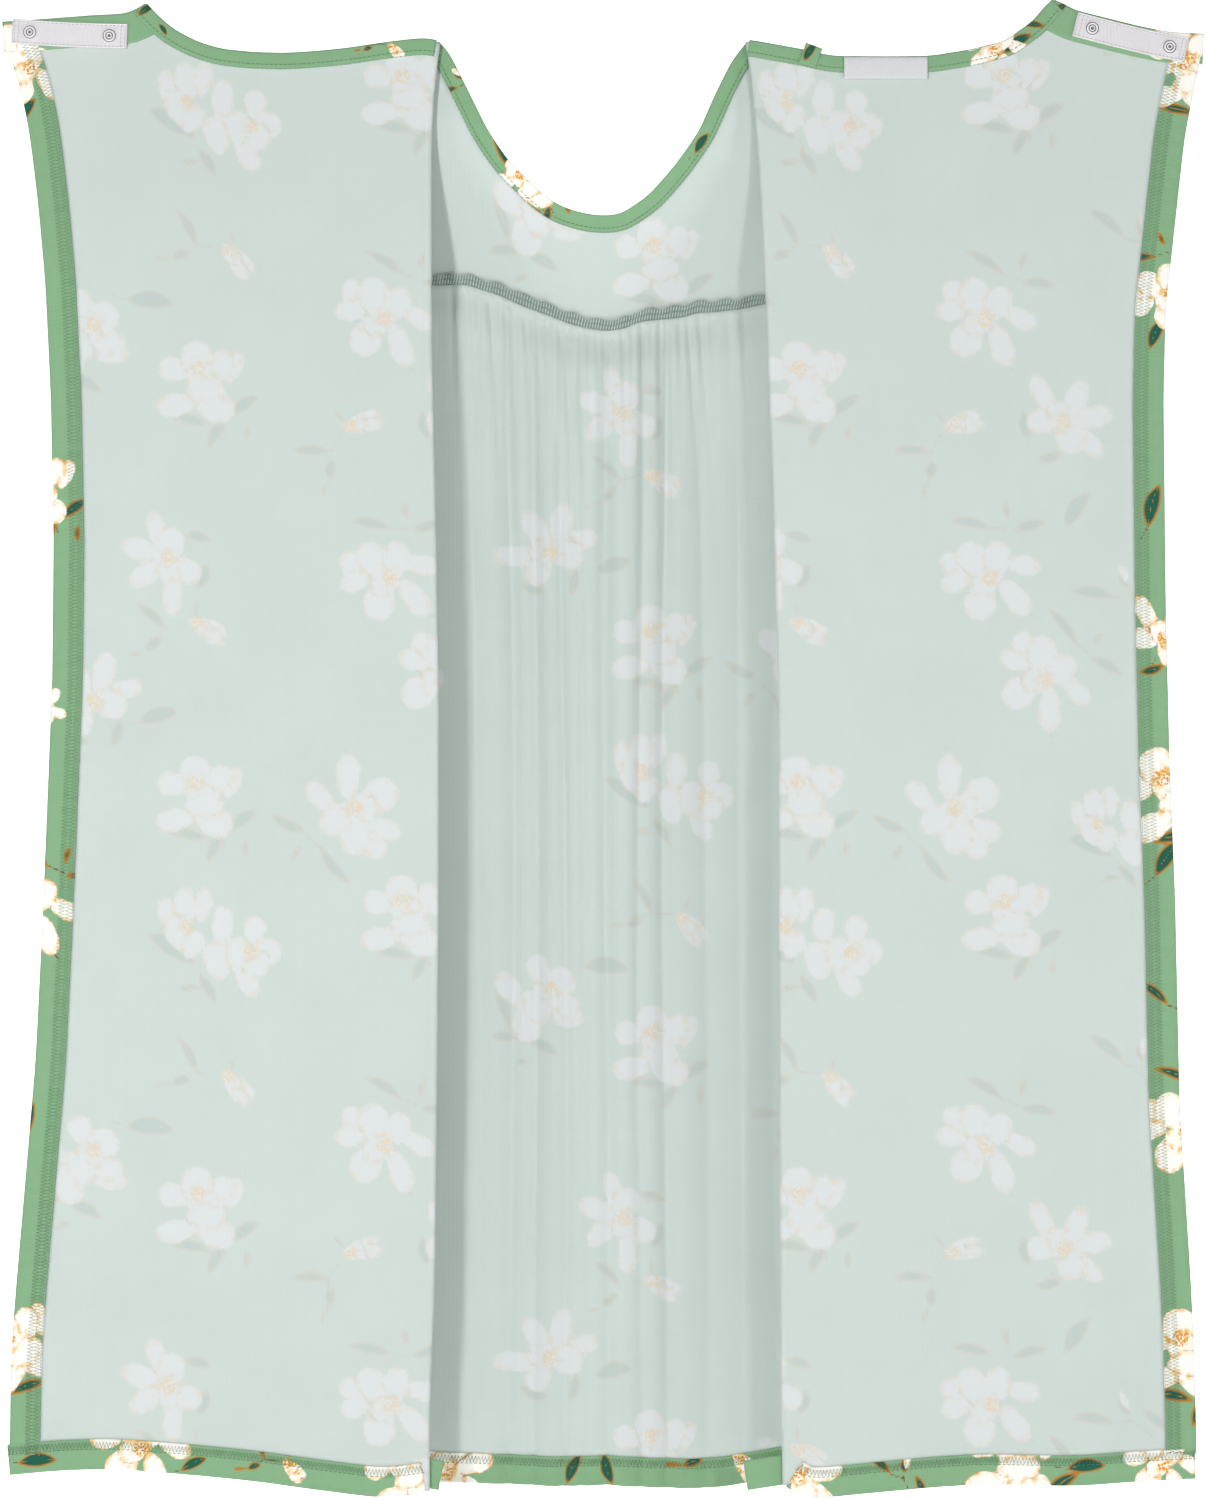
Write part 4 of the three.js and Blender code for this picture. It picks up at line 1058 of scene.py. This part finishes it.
# %% [markdown]
# ## Bindings and facings
# The neck is bound with a strip of the same jersey, right side out, folded round the raw edge
# and held by a coverstitch. The free edges and hems have wide facings of it. So the vivid green
# right side frames the pale inside, with a piece of flower wherever the print fell.

# %% Motifs that fall on the trims
TRIM_MOTIFS = {
    "left_edge": [("open", -404, -19, 20, 0.85), ("leaf", -406, -50, 60, 0.7),
                  ("full", -398, -316, 0, 0.9), ("windmill", -398, -470, 30, 0.6),
                  ("open", -402, -612, 0, 0.95), ("leaf", -404, -760, 80, 0.8),
                  ("full", -410, -921, 30, 1.0)],
    "right_edge": [("full", 412, -26, 0, 0.9), ("open", 398, -178, 40, 0.8),
                   ("leaf", 390, -206, 70, 0.7), ("leaf", 388, -327, 80, 0.9),
                   ("windmill", 396, -420, 0, 0.9), ("full", 402, -530, 20, 1.15),
                   ("leaf", 398, -575, 60, 0.9), ("sprig", 400, -680, 0, 0.8),
                   ("open", 410, -768, 10, 1.0), ("full", 410, -926, 0, 1.1)],
    "left_hem": [("open", -326, -990, 0, 1.0), ("leaf", -288, -1002, 30, 0.6),
                 ("bud", -218, -1004, 0, 0.7), ("full", -138, -1008, 20, 0.9),
                 ("leaf", -398, -1000, 10, 0.8)],
    "right_hem": [("windmill", 138, -1010, 0, 0.9), ("sprig", 205, -1010, 0, 0.8),
                  ("full", 290, -1000, 0, 1.1), ("leaf", 340, -1004, 10, 0.8),
                  ("open", 394, -1002, 0, 0.8)],
    "front_hem": [("windmill", -112, -1016, 0, 1.0), ("leaf", -21, -1018, 70, 0.7),
                  ("leaf", 4, -1018, 110, 0.7), ("bud", 104, -1014, 0, 1.0),
                  ("full", -180, -1006, 0, 1.0), ("open", 172, -1004, 0, 1.0)],
    "front_neck": [("leaf", -68, -80, -50, 1.0), ("full", -54, -98, 20, 0.7),
                   ("leaf", 70, -70, 60, 0.5), ("sprig", -100, -30, 60, 0.6)],
    "left_neck": [("bud", -146, -6, 0, 0.5), ("leaf", -321, 22, 40, 0.45), ("leaf", -310, 8, -50, 0.3)],
    "right_neck": [("open", 276, -6, 0, 0.7), ("leaf", 292, -2, 40, 0.7)],
}
FAR_BELOW = -5000
NECK_WRAP = wrap_section(BINDING_WIDTH, gap=0.35, cloth=JERSEY_THICKNESS)
FACING = laid_section(-0.6, FACING_WIDTH, -1.05)
HEM = laid_section(-0.8, HEM_WIDTH, -1.05)
PATCH = laid_section(-0.9, FACING_WIDTH, -1.0)

# Rows of thread: name, depth into the cloth, height over it, thread, and what differs from a
# plain straight stitch. A swing makes it the zigzag of a coverstitch.
COVER = dict(swing=4.2, width=0.62)
LOOPER = dict(swing=1.4, width=0.36)
FACING_ROWS = [("cover_outer", 12.6, -1.15, green_thread, COVER),
               ("cover_inner", 17.6, -1.15, green_thread, COVER),
               ("stitch", 20.4, -1.15, grey_thread, dict(pitch=2.2, length=1.5)),
               ("looper", 21.4, -0.6, pale_thread, LOOPER)]
HEM_ROWS = [("cover", 16.6, -1.15, green_thread, COVER), ("stitch", 13.6, -1.2, green_thread, {}),
            ("looper", 20.6, -0.6, pale_thread, LOOPER)]


def binding_rows(depth):
    """The rows of a neck binding, the first of them at a depth in mm."""
    return [("stitch", depth, -1.65, green_thread, {}),
            ("edge_stitch", 10.6, -0.9, grey_thread, dict(length=2.6, width=0.55))]


def sew(group, body, prefix, rows, line, surface, towards):
    """Lays a table of thread rows along an edge."""
    for row_name, depth, height, thread, shape in rows:
        row = looper_row if "swing" in shape else needle_row
        add(group, body, "jersey_trim",
            row(f"{prefix}_{row_name}", line, depth, surface, height, towards, thread, **shape))


print("motifs on the trims", sum(map(len, TRIM_MOTIFS.values())))


# %% Bindings and facings of the folded-out panels
trims = {"left": [], "right": []}
for side in SIDES:
    name, body, sign = side["name"], side["body"], side["sign"]
    mine = trims[name]
    free = side["free_line"]
    free = free[(free[:, 1] <= 1) & (free[:, 1] >= -997)]
    shoulder_motifs = [("leaf", sign * 321, 22, 40, 0.45), ("open", sign * 412, -12, 0, 0.8)]
    neck_binding = (f"{name}_neck_binding", "wrap", f"{name}_back_neck_binding", NECK_WRAP,
                    resampled(side["neck_line"], 1.2), (sign * 220, FAR_BELOW),
                    TRIM_MOTIFS[f"{name}_neck"], 0.25, binding_rows(7.6))
    edge_facing = (f"{name}_edge_facing", "strip", f"{name}_edge_facing", FACING,
                   resampled(free, 2.0), (0, -500), TRIM_MOTIFS[f"{name}_edge"], 0.3, FACING_ROWS)
    hem_facing = (f"{name}_hem_facing", "strip", f"{name}_hem_facing", HEM,
                  resampled(side["hem_line"], 1.8), (sign * 270, 0), TRIM_MOTIFS[f"{name}_hem"],
                  0.3, HEM_ROWS)
    shoulder_facing = (f"{name}_shoulder_facing", "strip", f"{name}_shoulder_facing", PATCH,
                       resampled(side["shoulder_line"], 1.5), (sign * 370, FAR_BELOW),
                       shoulder_motifs, 0.0, [])
    for prefix, ending, node_name, section, line, towards, motifs, pucker, rows in (
            neck_binding, edge_facing, hem_facing, shoulder_facing):
        strip = trim_piece(f"{prefix}_{ending}", line, section, flap_y, towards, motifs, pucker)
        add(mine, body, "jersey_trim", strip, node_name)
        sew(mine, body, prefix, rows, line, flap_y, towards)
print("panel trims", len(trims["left"]) + len(trims["right"]))

# %% [markdown]
# ### Snap tapes
# A strip of woven cotton, its ring snaps pressed through tape and cloth, is sewn round all
# four sides. A ring snap is a moulded ring; its inner ring grips the stud of the other part.

# %% Slabs, tapes and snaps
def bent(s, length, bow, end_bend):
    """Rise of a strip's middle line: a parabola bow mm high, and a square curl at its far end."""
    share = 2 * s / length
    return bow * (1 - share ** 2) + end_bend * np.clip(share - 0.45, 0, 1) ** 2


def slab(name, centre, degrees, length, width, low, thickness, surface, material, bow=0.0,
         end_bend=0.0, motifs=(), toward=-1):
    """A thin woven piece laid on a surface: a rounded section carried along its length."""
    turn = math.radians(degrees)
    s = np.linspace(-0.5, 0.5, max(int(length / 1.5), 8)) * length
    half, corner = width / 2, min(thickness * 0.45, 0.4)
    across = np.linspace(-half + corner, half - corner, max(int(width / 1.6), 6))
    puff = 0.12 * (1 - (across / half) ** 2)
    section = np.concatenate([
        np.stack([across, thickness + puff], 1), [[half, thickness - corner], [half, corner]],
        np.stack([across[::-1], 0 * across], 1), [[-half, corner], [-half, thickness - corner]]])
    lift = bent(s, length, bow, end_bend)[:, None]
    x = centre[0] + s[:, None] * math.cos(turn) - section[None, :, 0] * math.sin(turn)
    z = centre[1] + s[:, None] * math.sin(turn) + section[None, :, 0] * math.cos(turn) + lift
    y = surface(x, z) + toward * (low + section[None, :, 1])
    cloth = np.stack(np.broadcast_arrays(s[:, None], section[None, :, 0]), -1)
    fields = print_fields(x, z, motifs=motifs) if motifs else None
    return carried(name, np.stack([x, y, z], -1), [material], cloth, fields)


RING = [(0, 0.05), (5.2, 0.05), (5.4, 0.3), (5.35, 0.75), (5.0, 0.98), (4.75, 0.9), (4.65, 0.3),
        (4.1, 0.3), (3.95, 1.3), (3.7, 1.72), (3.3, 1.8), (2.95, 1.7), (2.8, 1.25), (2.75, 0.4),
        (2.0, 0.4), (1.95, 1.1), (1.75, 1.42), (1.45, 1.42), (1.2, 1.1), (1.1, 0.4), (0, 0.4)]
WELL = [(0, 0.1), (4.7, 0.1), (4.7, 0.45), (2.3, 0.55), (0, 0.55)]
CAP = [(0, 0), (5.2, 0), (5.3, 0.25), (4.9, 0.6), (3.6, 0.82), (2.0, 0.88), (0, 0.9)]
TAPE_WIDTH, TAPE_THICKNESS, SNAP_REACH = 17.6, 0.8, 28


def snap_tape(group, side, place, centre, degrees, surface, low, cap_low, toward, body, length):
    """One tape with its stitches, two ring snaps, and their caps on the cloth's other side."""
    sign = side["sign"]
    prefix = f"{side['name']}_{place}"
    turn = math.radians(degrees)
    direction = np.array([math.cos(turn), math.sin(turn)])
    across = np.array([-direction[1], direction[0]])
    bow = -0.7 if place == "back" else 0.0
    end_bend = 2.6 if prefix == "right_back" else 0.0

    def on_tape(s, t, height):
        """Places s mm along the tape and t mm across it, at a height over the cloth."""
        flat = np.asarray(centre) + np.multiply.outer(s, direction) + np.multiply.outer(t, across)
        flat[:, 1] += bent(s, length, bow, end_bend)
        return np.stack([flat[:, 0], surface(flat[:, 0], flat[:, 1]) + toward * height, flat[:, 1]], 1)

    add(group, body, "cotton_tape",
        slab(f"{prefix}_tape", centre, degrees, length, TAPE_WIDTH, low, TAPE_THICKNESS, surface,
             cotton_tape, bow=bow, end_bend=end_bend, toward=toward), f"{prefix}_snap_tape")
    end = length / 2
    for number, offset in enumerate((-8.1, 8.1)):
        s = np.linspace(-end + 0.5, end - 0.5, 60)
        path = on_tape(s, np.full_like(s, offset), low + TAPE_THICKNESS)
        add(group, body, "cotton_tape",
            thread_tube(f"{prefix}_tape_selvedge_{number}", path, 1.0, white_thread))
    lengthwise = np.arange(-end + 2, end - 1.5, 2.9)
    crosswise = np.arange(-6.6, 6.7, 2.6)
    seams = [(lengthwise, np.full_like(lengthwise, offset), direction) for offset in (-7.3, 7.3)]
    seams += [(np.full_like(crosswise, at), crosswise, across)
              for at in (-end + 1.7, end - 1.7, -end + 4.4, end - 4.4)]
    for number, (s, t, run) in enumerate(seams):
        add(group, body, "cotton_tape",
            stitches(f"{prefix}_tape_stitch_{number}", on_tape(s, t, low + 0.86),
                     [run[0], 0.0, run[1]], 2.0, 0.42, tape_thread, lift=0.1, facing=float(toward)))
    for which, along in (("inner", -sign * SNAP_REACH), ("outer", sign * SNAP_REACH)):
        at = np.array([float(along)])
        ring_at = on_tape(at, 0 * at, low + TAPE_THICKNESS)[0]
        cap_at = on_tape(at, 0 * at, -cap_low)[0]
        add(group, body, "snap_plastic",
            turned(f"{prefix}_ring_snap_{which}", RING, ring_at, toward, acetal),
            f"{prefix}_snap_ring_{which}")
        add(group, body, "snap_plastic",
            turned(f"{prefix}_snap_well_{which}", WELL, ring_at, toward, shadowed_acetal))
        add(group, body, "snap_plastic", turned(f"{prefix}_cap_{which}", CAP, cap_at, -toward, acetal),
            f"{prefix}_snap_cap_{which}")


TAPES = {"left": ((-375.4, 5.2), -2.6), "right": ((371.5, 2.6), -13.5)}
for side in SIDES:
    centre, degrees = TAPES[side["name"]]
    snap_tape(trims[side["name"]], side, "back", centre, degrees, flap_y, 1.35, 0.85, -1,
              side["body"], 81)

slope = math.atan2(SHOULDER_DROP, SHOULDER_RUN)
TAPE_BELOW_SEAM = 15
front_trims = []
for side in SIDES:
    sign = side["sign"]
    middle = (sign * (side["fold_top"] + SHOULDER_RUN / 2 * math.cos(slope)),
              -SHOULDER_RUN / 2 * math.sin(slope) - TAPE_BELOW_SEAM)
    snap_tape(front_trims, side, "front", middle, -sign * math.degrees(slope), yoke_y, 1.2, 0.05, 1,
              "front", 68.6)
print("tapes and snaps done")

# %% [markdown]
# ### Label and the binding's loose end
# A satin label is sewn into the right half of the neck. It carries no words here. Beside it the
# neck binding ends in a short tab that was never trimmed off.

# %% Label and tab
LABEL_X, LABEL_Z = 199, -19
add(trims["right"], "right_back", "satin_label",
    slab("blank_neck_label", (LABEL_X, LABEL_Z), 0, 59, 15.5, 1.9, 0.45, flap_y, satin), "neck_label")
for number, offset in enumerate((-27.5, 27.5)):
    x = LABEL_X + offset
    z = LABEL_Z + np.arange(-6.6, 6.7, 2.4)
    places = np.stack([np.full_like(z, x), flap_y(x, z) - 2.42, z], 1)
    add(trims["right"], "right_back", "satin_label",
        stitches(f"label_stitch_{number}", places, [0.0, 0.0, 1.0], 1.9, 0.4, white_thread, lift=0.1))
add(trims["right"], "right_back", "jersey_trim",
    slab("neck_binding_loose_end", (146, -10.5), 70, 15, 12.5, 1.9, 0.9, flap_y, binding_side,
         motifs=[("leaf", 146, -8, 60, 0.5)]), "neck_binding_end_tab")
print("label and tab done")

# %% [markdown]
# ## Trims of the front
# The front's neckline is bound like the back's, and its hem is faced inside. The armholes are
# bound too, though the folded-out panels hide them from the open side.

# %% Front neck and hem
front_neck = resampled(neck_edge, 1.2)
below_neck = (0, FAR_BELOW)
neck_wrap = trim_piece("front_neck_binding_wrap", front_neck, NECK_WRAP, yoke_y, below_neck,
                       TRIM_MOTIFS["front_neck"], pucker=0.25)
add(front_trims, "front", "jersey_trim", neck_wrap, "front_neck_binding")
sew(front_trims, "front", "front_neck", binding_rows(7.8), front_neck, yoke_y, below_neck)
hem_line = resampled(front_hem[(front_hem[:, 0] > -205) & (front_hem[:, 0] < 205)], 1.6)
hem_strip = trim_piece("front_hem_facing_strip", hem_line, HEM, skirt_y, (0, 0),
                       TRIM_MOTIFS["front_hem"], pucker=0.3)
add(front_trims, "front", "jersey_trim", hem_strip, "front_hem_facing")
sew(front_trims, "front", "front_hem", HEM_ROWS, hem_line, skirt_y, (0, 0))
print("front neck and hem done")


# %% Side trims, mostly hidden
def level(height):
    """A surface y(x, z) of one height, for the flat hidden side and the seams."""
    return lambda x, z: np.full(np.shape(x), height)


TURNED_SEAM = np.array([(7, 3.1), (3, 3.1), (0.6, 3.1), (0.4, 2.1), (-0.4, 1.9), (-1.1, 2.9),
                        (-1.4, 4.3), (-1.1, 5.8), (-0.4, 6.8), (0.4, 6.6), (0.6, 5.5), (3, 5.5),
                        (7, 5.5)])
ARMHOLE_BACK = wrap_section(BINDING_WIDTH, gap=0.3, cloth=1.2)
ARMHOLE_FRONT = wrap_section(BINDING_WIDTH, gap=0.5, cloth=0.8)
SIDE_HEM = laid_section(-0.5, HEM_WIDTH, 3.0)
UNDER_ARM = (0, -107)
for side in SIDES:
    name, sign = side["name"], side["sign"]
    fold_x = sign * side["fold_top"]
    armhole = resampled(side["armhole"], 1.5)
    shoulder = spread(np.array([(fold_x, 0.0), (fold_x + sign * SHOULDER_RUN, -SHOULDER_DROP)]), 40)
    side_hem = spread(np.array([(fold_x, -1021.0), (sign * 204.0, -1005.5)]), 50)
    for piece_name, node_name, slot, line, section, surface, towards in (
            ("armhole_back_wrap", "armhole_binding_back", "jersey_trim", armhole, ARMHOLE_BACK,
             level(1.6), UNDER_ARM),
            ("armhole_front_wrap", "armhole_binding_front", "jersey_trim", armhole, ARMHOLE_FRONT,
             front_open, UNDER_ARM),
            ("side_seam_turn", "side_seam", "serged_seam", resampled(side["seam"], 4), TURNED_SEAM,
             level(0.0), (0, -215)),
            ("shoulder_seam_turn", "shoulder_seam", "serged_seam", shoulder, TURNED_SEAM,
             level(0.0), (fold_x, FAR_BELOW)),
            ("side_hem_strip", "side_hem_facing", "jersey_trim", side_hem, SIDE_HEM, level(0.0),
             (sign * 150, 0))):
        piece = trim_piece(f"{name}_{piece_name}", line, section, surface, towards)
        add(front_trims, "front", slot, piece, f"{name}_{node_name}")
print("front trims", len(front_trims))

# %% [markdown]
# ## Baking the back cloths
# The cloth of a back panel crosses its fold, from the front to the panel's own body.
# Here each back cloth has its transform baked into its points.

# %% Bake the back cloths
for side in SIDES:
    name = side["name"]
    x = side["sign"] * side["fold_top"] * MM
    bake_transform(back_cloths[name])
